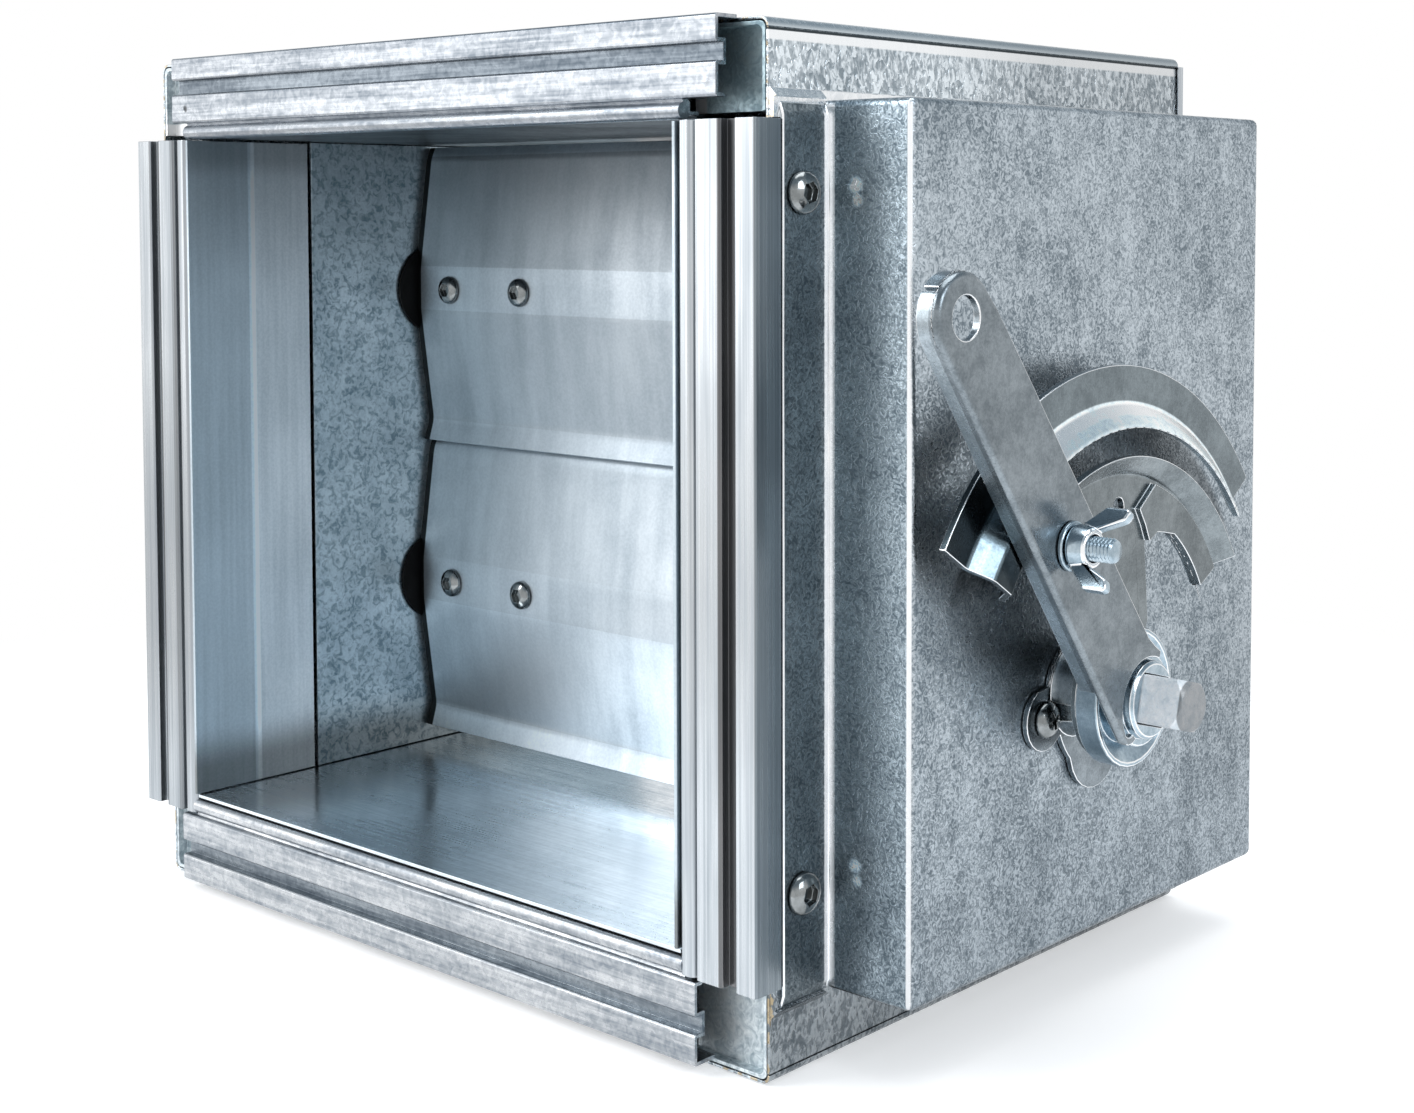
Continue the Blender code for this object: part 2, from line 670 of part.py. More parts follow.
def rail_outline(outer_band, lip=0.0, lip_depth=0.0):
    """The front rail's section, as distances inwards from its outer edge and back from its front.

    With a lip it is a solid bar whose lip runs back along the casing. Without one it is a folded sheet,
    open at its back.
    """
    groove = outer_band
    inner = groove + RAIL_GROOVE_WIDTH
    notch = inner + RAIL_INNER_BAND
    bead = notch + RAIL_NOTCH_WIDTH + RAIL_BEAD_RADIUS
    back = RAIL_PROUD - SEAT_GAP
    soft = RAIL_EDGE
    bead_centre = (bead, RAIL_BEAD_RADIUS + RAIL_BEAD_SET_BACK)
    points = [(0.0, soft), (soft, 0.0), (groove - soft, 0.0), (groove, soft)]
    points += [(groove, RAIL_GROOVE_DEPTH), (inner, RAIL_GROOVE_DEPTH)]
    points += [(inner, soft), (inner + soft, 0.0), (notch - soft, 0.0), (notch, soft)]
    points += [(notch, RAIL_NOTCH_DEPTH)]
    points += arc(bead_centre, RAIL_BEAD_RADIUS, 190.0, 360.0, 9)
    points += arc(bead_centre, RAIL_BEAD_RADIUS, 20.0, 60.0, 3)
    leg = bead + RAIL_BEAD_RADIUS / 2
    points += [(leg, back)]
    if lip > 0:
        return points + [(lip, back), (lip, lip_depth), (0.0, lip_depth)]
    sheet = RAIL_SHEET
    bead_back = 2 * RAIL_BEAD_RADIUS + RAIL_BEAD_SET_BACK
    points += [(leg - sheet, back), (leg - sheet, bead_back), (bead - RAIL_BEAD_RADIUS, bead_back)]
    points += [(notch - sheet, RAIL_NOTCH_DEPTH + sheet), (notch - sheet, sheet), (inner + sheet, sheet)]
    points += [(inner + sheet, RAIL_GROOVE_DEPTH + sheet), (groove - sheet, RAIL_GROOVE_DEPTH + sheet)]
    points += [(groove - sheet, sheet), (sheet, sheet), (sheet, back), (0.0, back)]
    return points


def rail_reach(outer_band):
    """How far a rail reaches inwards from its outer edge, bead and all."""
    across = outer_band + RAIL_GROOVE_WIDTH + RAIL_INNER_BAND
    return across + RAIL_NOTCH_WIDTH + 2 * RAIL_BEAD_RADIUS


def build_front_rails():
    """Four rails round the opening. The side rails stand between the top and bottom ones."""
    outer_x = HALF_WIDTH + SIDE_RAIL_PROUD
    top_z = CASING_HEIGHT + TOP_RAIL_RISE
    for name, right_x, outer_band in (
        ("front_top_rail", TOP_RAIL_RIGHT_X, RAIL_OUTER_BAND),
        ("front_bottom_rail", BOTTOM_RAIL_RIGHT_X, BOTTOM_RAIL_OUTER_BAND),
    ):
        outline = rail_outline(outer_band)
        start_z, inward = (top_z, -1) if name == "front_top_rail" else (BOTTOM_RAIL_INSET, 1)
        placed = [(FRONT_PLANE_Y + back, start_z + inward * inwards) for inwards, back in outline]
        rail = plate(name, [placed], RAIL_LEFT_X, right_x, "X", GALVANISED)
        notch = outer_band + RAIL_GROOVE_WIDTH + RAIL_INNER_BAND
        near, far = sorted((start_z + inward * notch, start_z + inward * (notch + 3 * RAIL_BEAD_RADIUS)))
        bead_end = outer_x - rail_reach(RAIL_OUTER_BAND) - SEAT_GAP
        for low, high in ((RAIL_LEFT_X - CUT, -bead_end), (bead_end, right_x + CUT)):
            end = box("cutter", (low, FRONT_PLANE_Y - CUT, near), (high, FRONT_Y + CUT, far), None, CUTTERS)
            cut(rail, end)
        smooth(rail)
    for side, sign in (("left", -1), ("right", 1)):
        outline = rail_outline(RAIL_OUTER_BAND, SIDE_RAIL_LIP, SIDE_RAIL_LIP_DEPTH)
        placed = [(sign * (outer_x - inwards), FRONT_PLANE_Y + back) for inwards, back in outline]
        smooth(
            plate(
                "front_" + side + "_rail",
                [placed],
                SIDE_RAIL_LOW_Z,
                SIDE_RAIL_HIGH_Z,
                "Z",
                ALUMINIUM,
            )
        )


def corner_outline(size, radius, inset):
    """A square's corner with its outer corner rounded, from local (0, 0) outwards."""
    edge = size - inset
    return (
        [(0.0, 0.0), (edge, 0.0)]
        + arc((edge - radius, edge - radius), radius, 0.0, 90.0, 5)
        + [(0.0, edge)]
    )


def build_front_corners():
    outer = HALF_WIDTH - CASING_SHEET - SEAT_GAP
    beside = outer - DUCT_HALF - DUCT_SHEET
    above = CASING_HEIGHT - CASING_SHEET - SEAT_GAP - DUCT_CEILING_Z - DUCT_SHEET
    below = DUCT_FLOOR_Z - DUCT_SHEET - CASING_SHEET - SEAT_GAP
    size = min(beside, above, below) - SEAT_GAP
    inside = CASING_CORNER_RADIUS - CASING_SHEET
    back_y = FRONT_Y + CORNER_RECESS + CORNER_SHEET
    for up, up_sign in (("top", 1), ("bottom", -1)):
        for side, sign in (("left", -1), ("right", 1)):
            start_x = sign * (outer - size)
            middle_z = CASING_HEIGHT / 2
            start_z = middle_z + up_sign * (middle_z - CASING_SHEET - SEAT_GAP - size)
            whole = corner_outline(size, inside, 0.0)
            pocket = corner_outline(size, inside, CORNER_RIM)

            def placed(points, extra=0.0):
                return [
                    (start_z + up_sign * (high - extra), start_x + sign * (out - extra))
                    for out, high in points
                ]

            piece = plate(
                "front_" + up + "_" + side + "_corner", [placed(whole)], FRONT_Y, back_y, "Y", GALVANISED
            )
            wider = [
                (out - CUT if out == 0.0 else out, high - CUT if high == 0.0 else high)
                for out, high in pocket
            ]
            hollow = plate(
                "cutter",
                [placed(wider)],
                FRONT_Y - CUT,
                FRONT_Y + CORNER_RECESS,
                "Y",
                None,
                collection=CUTTERS,
            )
            smooth(cut(piece, hollow))


# Rear flange


def rear_outline(lip, reach):
    """The rear rail's section, as distances inwards from its outer edge and forwards from its rear face."""
    skin_near = REAR_LIP_PROUD + CASING_SHEET + SEAT_GAP
    bead_centre = reach - RAIL_BEAD_RADIUS
    lip_depth = REAR_Y + SEAT_GAP + REAR_SHEET - COVER_REAR_Y - SEAT_GAP
    points = []
    if lip:
        points += [(0.0, 0.0), (0.0, lip_depth), (REAR_LIP_SHEET, lip_depth)]
        points += [(REAR_LIP_SHEET, REAR_SHEET)]
    else:
        points += [(skin_near, 0.0)]
    points += [(skin_near, REAR_SHEET), (skin_near, REAR_LEG_DEPTH)]
    points += [(skin_near + REAR_SHEET, REAR_LEG_DEPTH), (skin_near + REAR_SHEET, REAR_SHEET)]
    points += [(bead_centre - RAIL_BEAD_RADIUS * 0.85, REAR_SHEET)]
    points += arc((bead_centre, RAIL_BEAD_RADIUS), RAIL_BEAD_RADIUS, 150.0, -90.0, 12)
    if not lip:
        points = points[1:] + [(skin_near, 0.0)]
    return points


def build_rear_rails():
    rear_plane = REAR_Y + SEAT_GAP + REAR_SHEET
    outer_x = HALF_WIDTH + REAR_LIP_PROUD
    for side, sign in (("left", -1), ("right", 1)):
        outline = rear_outline(True, outer_x - DUCT_HALF - DUCT_SHEET - SEAT_GAP)
        placed = [(sign * (outer_x - inwards), rear_plane - front) for inwards, front in outline]
        smooth(
            plate(
                "rear_" + side + "_rail",
                [placed],
                REAR_RAIL_MARGIN,
                CASING_HEIGHT - REAR_RAIL_MARGIN,
                "Z",
                ALUMINIUM,
            )
        )
    half = DUCT_HALF - SEAT_GAP
    middle = CASING_HEIGHT / 2
    outer = middle + REAR_LIP_PROUD
    for up, sign, duct_z in (
        ("top", 1, DUCT_CEILING_Z + DUCT_SHEET),
        ("bottom", -1, DUCT_FLOOR_Z - DUCT_SHEET),
    ):
        outline = rear_outline(False, outer - abs(duct_z - middle) - SEAT_GAP)
        placed = [(rear_plane - front, middle + sign * (outer - inwards)) for inwards, front in outline]
        smooth(plate("rear_" + up + "_rail", [placed], -half, half, "X", GALVANISED))


# Blades


def blade_line():
    """The blade's folded section about its axis, as (Y, Z) from the top lip down."""
    return [
        (-TOP_LIP_FRONT, TOP_LIP_HEIGHT),
        (-FOLD_FRONT, FOLD_HEIGHT),
        (-BAND_FRONT, BAND_HALF_HEIGHT),
        (-BAND_FRONT, -BAND_HALF_HEIGHT),
        (-FOLD_FRONT, -FOLD_HEIGHT),
        (-BOTTOM_LIP_FRONT, -BOTTOM_LIP_HEIGHT),
    ]


def build_blade(name, axis):
    """One folded sheet: its section drawn along the blade, then thickened towards the rear."""
    work = bmesh.new()
    rows = []
    for across in (-BLADE_END_X, BLADE_END_X):
        rows.append([work.verts.new((across, depth, height)) for depth, height in blade_line()])
    for index in range(len(rows[0]) - 1):
        work.faces.new((rows[0][index], rows[0][index + 1], rows[1][index + 1], rows[1][index]))
    mesh = bpy.data.meshes.new(name)
    work.to_mesh(mesh)
    work.free()
    blade = add_object(name, mesh, STAINLESS)
    blade.location = axis
    folds = blade.modifiers.new("folds", "BEVEL")
    folds.width = BLADE_FOLD
    folds.segments = 3
    folds.limit_method = "ANGLE"
    folds.angle_limit = math.radians(4.0)
    sheet = blade.modifiers.new("sheet", "SOLIDIFY")
    sheet.thickness = BLADE_SHEET
    sheet.offset = -1.0
    sheet.use_even_offset = True
    bake(blade)
    for across in screw_places():
        cut_drum(
            blade,
            BLADE_SCREW_RADIUS + SEAT_GAP,
            -BAND_FRONT - 2 * CUT,
            -BAND_FRONT + 3 * CUT,
            "Y",
            (across, axis.y, axis.z),
            SMALL_STEPS,
        )
    return smooth(blade, 20.0)


def screw_places():
    return (-BLADE_SCREW_OUTER_X, -BLADE_SCREW_INNER_X, BLADE_SCREW_INNER_X, BLADE_SCREW_OUTER_X)


def button_profile(head_radius, head_height, radius, length):
    """A button head over a plain shank: the head's top is at its height and the seat at nought."""
    dome = [(0.0, head_height)]
    rings = 4
    for step in range(rings + 1):
        angle = math.radians(DOME_START + (90.0 - DOME_START) * step / rings)
        rise = DOME_FLAT_SHARE + (1 - DOME_FLAT_SHARE) * math.cos(angle)
        dome.append((head_radius * math.sin(angle), head_height * rise))
    dome += [(head_radius, 0.0), (radius, 0.0), (radius, -length), (0.0, -length)]
    return dome


def socket_screw(name, head_radius, head_height, radius, length, axis, centre, turn=0.0):
    """A button head screw with a six-sided socket, along the axis, whose seat is at the centre."""
    profile = button_profile(head_radius, head_height, radius, length)
    screw = turned(name, profile, axis, ZINC, centre, turn, SMALL_STEPS)
    socket = circle((0.0, 0.0), head_radius * SOCKET_SHARE, 6)
    depth = head_height / 3
    hollow = plate("cutter", [socket], depth, head_height + CUT, axis, None, centre, turn, CUTTERS)
    return smooth(cut(screw, hollow))


def front_screw(name, head_radius, head_height, radius, length, centre):
    """A socket screw that faces the front, along -Y."""
    screw = socket_screw(name, head_radius, head_height, radius, length, "Z", (0, 0, 0))
    screw.matrix_world = Matrix.Translation(centre) @ Matrix.Rotation(math.radians(90.0), 4, "X")
    return screw


def build_blades():
    seat = -BAND_FRONT - SEAT_GAP
    master = None
    for level, axis in (("lower", LOWER_AXIS), ("upper", UPPER_AXIS)):
        build_blade(level + "_blade", axis)
        for number, across in enumerate(screw_places()):
            name = level + "_blade_screw_" + "abcd"[number]
            place = Vector((across, axis.y + seat, axis.z))
            if master is None:
                master = front_screw(
                    name,
                    BLADE_SCREW_HEAD,
                    BLADE_SCREW_HEAD_HEIGHT,
                    BLADE_SCREW_RADIUS,
                    BLADE_SCREW_LENGTH,
                    place,
                )
                continue
            copy = add_object(name, master.data, None)
            copy.matrix_world = Matrix.Translation(place) @ Matrix.Rotation(math.radians(90.0), 4, "X")


def build_shafts():
    """Square bars with a threaded seat for each blade screw."""
    for level, axis in (("lower", LOWER_AXIS), ("upper", UPPER_AXIS)):
        bar = plate(
            level + "_shaft",
            [rounded_square(SHAFT_HALF, SHAFT_EDGE)],
            SHAFT_LEFT_X,
            SHAFT_RIGHT_X,
            "X",
            ZINC,
            axis,
        )
        bake(bar)
        for across in screw_places():
            cut_drum(
                bar,
                BLADE_SCREW_RADIUS + SEAT_GAP,
                -SHAFT_HALF - CUT,
                BLADE_SCREW_LENGTH - BAND_FRONT + CUT,
                "Y",
                (across, axis.y, axis.z),
                SMALL_STEPS,
            )
        smooth(bar)


def build_bushes():
    """A flanged bush turns with its square shaft in the duct wall's round hole."""
    bore = rounded_square(SHAFT_HALF + SEAT_GAP, SHAFT_EDGE)
    flange_face = DUCT_HALF - SEAT_GAP
    for level, axis in (("lower", LOWER_AXIS), ("upper", UPPER_AXIS)):
        for side, sign in (("left", -1), ("right", 1)):
            profile = [
                (0.0, BUSH_LENGTH),
                (BUSH_RADIUS, BUSH_LENGTH),
                (BUSH_RADIUS, 0.0),
                (BUSH_FLANGE_RADIUS, 0.0),
                (BUSH_FLANGE_RADIUS, -BUSH_FLANGE),
                (0.0, -BUSH_FLANGE),
            ]
            if sign < 0:
                profile = [(radius, -height) for radius, height in reversed(profile)]
            centre = (sign * flange_face, axis.y, axis.z)
            bush = turned(level + "_" + side + "_bush", profile, "X", NYLON, centre)
            hollow = plate(
                "cutter", [bore], -BUSH_LENGTH - CUT, BUSH_LENGTH + CUT, "X", None, centre, 0.0, CUTTERS
            )
            smooth(cut(bush, hollow))


# Linkage


def crank_outline(steps=10):
    """A hub and a smaller tip on the first local axis, joined by their two common tangents."""
    lean = math.degrees(math.asin((CRANK_HUB_RADIUS - CRANK_TIP_RADIUS) / CRANK_LENGTH))
    tip = arc((CRANK_LENGTH, 0.0), CRANK_TIP_RADIUS, -90.0 + lean, 90.0 - lean, steps)
    hub = arc((0.0, 0.0), CRANK_HUB_RADIUS, 90.0 - lean, 270.0 + lean, 2 * steps)
    return tip + hub


def build_linkage():
    turn = math.radians(90.0 - CRANK_ANGLE)
    for level, axis in (("lower", LOWER_AXIS), ("upper", UPPER_AXIS)):
        centre = (0.0, axis.y, axis.z)
        end_x = CRANK_X + CRANK_SHEET
        crank = plate(level + "_crank", [crank_outline()], CRANK_X, end_x, "X", PRESSED_STEEL, centre, turn)
        hollow = plate(
            "cutter",
            [rounded_square(SHAFT_HALF + SEAT_GAP, SHAFT_EDGE)],
            CRANK_X - CUT,
            CRANK_X + CRANK_SHEET + CUT,
            "X",
            None,
            centre,
            0.0,
            CUTTERS,
        )
        cut(crank, hollow)
        out, high = on_dial(CRANK_LENGTH, CRANK_ANGLE)
        pin_end = CRANK_X + CRANK_SHEET + 2 * SEAT_GAP + LINK_SHEET + PIN_OVERRUN
        pin = drum(
            "cutter",
            PIN_RADIUS,
            CRANK_X + CRANK_SHEET / 2,
            pin_end,
            "X",
            PRESSED_STEEL,
            (0.0, axis.y + out, axis.z + high),
            SMALL_STEPS,
            CUTTERS,
        )
        smooth(join(crank, pin))
    out, high = on_dial(CRANK_LENGTH, CRANK_ANGLE)
    link_x = CRANK_X + CRANK_SHEET + SEAT_GAP
    neck = math.degrees(math.asin(LINK_HALF_WIDTH / LINK_END_RADIUS))
    lower_end = arc((0.0, 0.0), LINK_END_RADIUS, 180.0 - (90.0 - neck), 360.0 + (90.0 - neck), 14)
    upper_end = arc((0.0, BLADE_PITCH), LINK_END_RADIUS, -(90.0 - neck), 180.0 + (90.0 - neck), 14)
    plate(
        "link_bar",
        [
            lower_end + upper_end,
            circle((0.0, 0.0), PIN_RADIUS + RUNNING_GAP, SMALL_STEPS),
            circle((0.0, BLADE_PITCH), PIN_RADIUS + OPEN_PIVOT_GAP, SMALL_STEPS),
        ],
        link_x,
        link_x + LINK_SHEET,
        "X",
        PRESSED_STEEL,
        (0.0, BLADE_AXIS_Y + out, LOWER_AXIS_Z + high),
    )


# Cover


def build_cover():
    """A pressed pan with a fixing strip along its front edge."""
    root_x = HALF_WIDTH + SEAT_GAP
    pan = box(
        "linkage_cover",
        (root_x - 3 * COVER_BEND, COVER_FRONT_Y, COVER_LOW_Z),
        (COVER_FACE_X, COVER_REAR_Y, COVER_HIGH_Z),
        GALVANISED,
    )
    rounded(pan, COVER_BEND, 3)
    bake(pan)
    hollow = box(
        "cutter",
        (root_x - 4 * COVER_BEND, COVER_FRONT_Y + COVER_SHEET, COVER_LOW_Z + COVER_SHEET),
        (COVER_FACE_X - COVER_SHEET, COVER_REAR_Y - COVER_SHEET, COVER_HIGH_Z - COVER_SHEET),
        None,
        CUTTERS,
    )
    rounded(hollow, COVER_BEND - COVER_SHEET, 2)
    bake(hollow)
    cut(pan, hollow)
    trim = box(
        "cutter",
        (root_x - 5 * COVER_BEND, COVER_FRONT_Y - CUT, COVER_LOW_Z - CUT),
        (root_x, COVER_REAR_Y + CUT, COVER_HIGH_Z + CUT),
        None,
        CUTTERS,
    )
    cut(pan, trim)
    foot = root_x
    sheet = COVER_SHEET
    strip_outline = [
        (STRIP_LOW_Z - STRIP_TAB, foot),
        (STRIP_LOW_Z - STRIP_TAB, foot + sheet),
        (STRIP_LOW_Z, STRIP_X),
        (STRIP_HIGH_Z, STRIP_X),
        (STRIP_HIGH_Z + STRIP_TAB, foot + sheet),
        (STRIP_HIGH_Z + STRIP_TAB, foot),
        (STRIP_HIGH_Z, STRIP_X - sheet),
        (STRIP_LOW_Z, STRIP_X - sheet),
    ]
    strip = plate(
        "cutter",
        [strip_outline],
        STRIP_FRONT_Y,
        COVER_FRONT_Y + COVER_SHEET / 2,
        "Y",
        GALVANISED,
        collection=CUTTERS,
    )
    join(pan, strip)
    for height in (STRIP_SCREW_LOW_Z, STRIP_SCREW_HIGH_Z):
        cut_drum(
            pan,
            STRIP_SCREW_RADIUS + SEAT_GAP,
            root_x - CUT,
            STRIP_X + CUT,
            "X",
            (0, STRIP_SCREW_Y, height),
            SMALL_STEPS,
        )
    behind = COVER_FACE_X - COVER_SHEET - CUT
    cut_drum(pan, STUB_HOLE_RADIUS, behind, COVER_FACE_X + CUT, "X", dial_centre())
    for angle in EAR_ANGLES:
        cut_drum(
            pan,
            EAR_SCREW_RADIUS + SEAT_GAP,
            behind,
            COVER_FACE_X + CUT,
            "X",
            dial_place(EAR_DISTANCE, angle),
            SMALL_STEPS,
        )
    smooth(pan)
    for name, height in (("lower_strip_screw", STRIP_SCREW_LOW_Z), ("upper_strip_screw", STRIP_SCREW_HIGH_Z)):
        socket_screw(
            name,
            STRIP_SCREW_HEAD,
            STRIP_SCREW_HEAD_HEIGHT,
            STRIP_SCREW_RADIUS,
            STRIP_SCREW_LENGTH,
            "X",
            (STRIP_X + SEAT_GAP, STRIP_SCREW_Y, height),
            math.radians(STRIP_SCREW_TURN),
        )

# Bracket, quadrant, drive, lever and clamp


def build_bracket():
    """A lobed plate on the cover, with two ears, a tail and a raised boss that carries the quadrant."""
    foot_radius = BRACKET_BOSS_RADIUS + 2 * BRACKET_FLARE
    lobes = [((0.0, 0.0), foot_radius), (on_dial(BRACKET_DISTANCE, BRACKET_ANGLE), BRACKET_RADIUS)]
    for angle in EAR_ANGLES:
        lobes.append((on_dial(EAR_DISTANCE, angle), EAR_RADIUS))
    lobes.append((on_dial(TAIL_DISTANCE, TAIL_ANGLE), TAIL_RADIUS))
    outline = lobed_outline(lobes, 72)
    plate_top = BRACKET_X + BRACKET_SHEET
    bracket = plate(
        "pivot_bracket",
        [outline, circle((0.0, 0.0), STUB_HOLE_RADIUS)],
        BRACKET_X,
        plate_top,
        "X",
        PRESSED_STEEL,
        dial_centre(),
    )
    boss_top = QUADRANT_BACK_X - SEAT_GAP
    inner = STUB_HOLE_RADIUS + BOSS_BORE_SPACE
    boss_profile = [
        (inner, boss_top),
        (BRACKET_BOSS_RADIUS - 2 * BRACKET_BOSS_EDGE, boss_top),
        (BRACKET_BOSS_RADIUS - BRACKET_BOSS_EDGE, boss_top - BRACKET_BOSS_EDGE),
        (BRACKET_BOSS_RADIUS, plate_top + BRACKET_BOSS_WALL_RISE),
        (BRACKET_BOSS_RADIUS + BRACKET_FLARE, plate_top + BRACKET_BOSS_WALL_RISE / 3),
        (foot_radius, plate_top - BRACKET_SHEET / 3),
        (foot_radius - BRACKET_FLARE, plate_top - BRACKET_SHEET / 2),
        (inner, plate_top - BRACKET_SHEET / 2),
    ]
    boss = turned("cutter", boss_profile, "X", PRESSED_STEEL, dial_centre(), collection=CUTTERS)
    join(bracket, boss)
    seat = plate_top + SEAT_GAP
    for letter, angle in zip("ab", EAR_ANGLES):
        place = dial_place(EAR_DISTANCE, angle)
        cut_drum(bracket, EAR_SCREW_RADIUS + SEAT_GAP, BRACKET_X - CUT, seat + CUT, "X", place, SMALL_STEPS)
        pocket = EAR_SCREW_HEAD + SEAT_GAP
        cut_drum(bracket, pocket, plate_top + SEAT_GAP / 3, boss_top + CUT, "X", place, SMALL_STEPS)
        ear_screw("ear_screw_" + letter, (seat, place[1], place[2]))
    smooth(bracket)


def ear_screw(name, centre):
    """A pan head screw with a crossed recess."""
    profile = button_profile(EAR_SCREW_HEAD, EAR_SCREW_HEAD_HEIGHT, EAR_SCREW_RADIUS, EAR_SCREW_LENGTH)
    screw = turned(name, profile, "X", ZINC, centre, 0.0, SMALL_STEPS)
    arm = CROSS_ARM
    half = CROSS_HALF_WIDTH
    cross = [
        (arm, -half), (arm, half), (half, half), (half, arm), (-half, arm), (-half, half),
        (-arm, half), (-arm, -half), (-half, -half), (-half, -arm), (half, -arm), (half, -half),
    ]
    turn = math.radians(CROSS_TURN)
    top = EAR_SCREW_HEAD_HEIGHT + CUT
    recess = plate("cutter", [cross], CROSS_FLOOR, top, "X", None, centre, turn, CUTTERS)
    return smooth(cut(screw, recess))


def quadrant_section():
    """The pressed plate's section as (radius, X), from the outer rim inwards over both lips of the slot."""
    return [
        (QUADRANT_OUTER_RADIUS, QUADRANT_X),
        (BAND_INNER_RADIUS, QUADRANT_X),
        (BAND_INNER_RADIUS - OUTER_EASE, QUADRANT_X + EASE_RISE),
        (OUTER_LIP_RADIUS + OUTER_EASE, QUADRANT_LIP_X - EASE_RISE),
        (OUTER_LIP_RADIUS, QUADRANT_LIP_X),
        (INNER_LIP_RADIUS, QUADRANT_LIP_X),
        (INNER_LIP_RADIUS - INNER_EASE, QUADRANT_LIP_X - EASE_RISE),
        (INNER_PLATE_RADIUS + INNER_EASE, QUADRANT_X + EASE_RISE),
        (INNER_PLATE_RADIUS, QUADRANT_X),
        (HUB_RADIUS, QUADRANT_X),
    ]


def dial_arc(radius, start, end, steps):
    """Points of the dial at one radius, from the start angle to the end angle."""
    return [on_dial(radius, start + (end - start) * step / steps) for step in range(steps + 1)]


def hook_throat():
    """The hook's heel and its round throat, which the web's open space shares."""
    heel = INNER_PLATE_RADIUS - HOOK_HEEL_DROP
    throat = INNER_PLATE_RADIUS - HOOK_THROAT_DROP
    between = (HOOK_HEEL_ANGLE + HOOK_THROAT_ANGLE) / 2
    return [
        on_dial(heel, HOOK_HEEL_ANGLE),
        on_dial(throat - HOOK_THROAT_EASE, between),
        on_dial(throat, HOOK_THROAT_ANGLE),
    ]


def hook_outline():
    """The hook that hangs from the inner lip: a blunt tip, a heel, a round throat and a long leg."""
    lip = INNER_PLATE_RADIUS - INNER_EASE / 2
    leg = INNER_PLATE_RADIUS - HOOK_WIDTH
    back = INNER_PLATE_RADIUS - HOOK_BACK_DROP
    middle = INNER_PLATE_RADIUS - (HOOK_BACK_DROP + HOOK_HEEL_DROP) / 2
    blunt = [
        on_dial(back, HOOK_BACK_ANGLE),
        on_dial(middle, (HOOK_BACK_ANGLE + HOOK_HEEL_ANGLE) / 2),
    ]
    inside = dial_arc(leg, HOOK_LEG_ANGLE, QUADRANT_END, 8)
    outside = dial_arc(lip, QUADRANT_END, HOOK_TIP_ANGLE, 14)
    return blunt + hook_throat() + inside + outside


def web_gap_outline():
    """The open space to the right of the web, below the hook's leg."""
    past_end = QUADRANT_END + END_MARGIN
    leg = INNER_PLATE_RADIUS - HOOK_WIDTH
    rise = INNER_PLATE_RADIUS - HOOK_HEEL_DROP - HUB_RADIUS
    web_edge = [on_dial(HUB_RADIUS, past_end + END_MARGIN)]
    for step, angle in enumerate(WEB_EDGE_ANGLES):
        web_edge.append(on_dial(HUB_RADIUS + rise * step / len(WEB_EDGE_ANGLES), angle))
    return dial_arc(leg, HOOK_LEG_ANGLE, past_end, 8) + web_edge + hook_throat()


def build_quadrant():
    """A pressed plate whose section is swept round the shaft, thickened, cut and given its hook."""
    work = bmesh.new()
    points = [work.verts.new((radius, 0.0, out)) for radius, out in quadrant_section()]
    for first, second in zip(points, points[1:]):
        work.edges.new((first, second))
    mesh = bpy.data.meshes.new("quadrant_plate")
    work.to_mesh(mesh)
    work.free()
    quadrant = add_object("quadrant_plate", mesh, PRESSED_STEEL)
    quadrant.matrix_world = axis_frame("X", math.radians(90.0 - QUADRANT_END), dial_centre())
    sweep = quadrant.modifiers.new("sweep", "SCREW")
    sweep.angle = math.radians(QUADRANT_END - QUADRANT_START)
    sweep.steps = DIAL_STEPS
    sweep.render_steps = DIAL_STEPS
    sweep.use_merge_vertices = False
    sweep.use_smooth_shade = False
    sheet = quadrant.modifiers.new("sheet", "SOLIDIFY")
    sheet.thickness = QUADRANT_SHEET
    sheet.offset = 1.0
    sheet.use_even_offset = True
    bake(quadrant)
    low = QUADRANT_BACK_X - 2 * CUT
    high = QUADRANT_LIP_X + 2 * CUT

    def remove(outline):
        cut(quadrant, plate("cutter", [outline], low, high, "X", None, dial_centre(), 0.0, CUTTERS))

    past_end = QUADRANT_END + END_MARGIN
    remove(dial_sector(INNER_LIP_RADIUS, OUTER_LIP_RADIUS, SLOT_START, past_end, DIAL_STEPS - 4))
    remove(dial_sector(OUTER_LIP_RADIUS - CUT, QUADRANT_OUTER_RADIUS + 2 * CUT, OUTER_RIM_END, past_end, 4))
    remove(dial_sector(HUB_RADIUS - 2 * CUT, INNER_PLATE_RADIUS, QUADRANT_START - END_MARGIN, WEB_START, 8))
    remove(web_gap_outline())
    mark = on_dial(INNER_PLATE_RADIUS - MARK_HOLE_DROP, MARK_HOLE_ANGLE)
    remove(circle(mark, MARK_HOLE_RADIUS, SMALL_STEPS))
    hub = plate(
        "cutter",
        [circle((0.0, 0.0), HUB_RADIUS + HUB_SEAT)],
        QUADRANT_BACK_X + HUB_STEP,
        QUADRANT_X - HUB_STEP,
        "X",
        PRESSED_STEEL,
        dial_centre(),
        0.0,
        CUTTERS,
    )
    join(quadrant, hub)
    remove(circle((0.0, 0.0), STUB_HOLE_RADIUS))
    raised = plate(
        "cutter",
        [hook_outline()],
        QUADRANT_X - QUADRANT_SHEET / 2,
        QUADRANT_X + HOOK_RISE,
        "X",
        PRESSED_STEEL,
        dial_centre(),
        0.0,
        CUTTERS,
    )
    join(quadrant, raised)
    smooth(quadrant, 25.0)


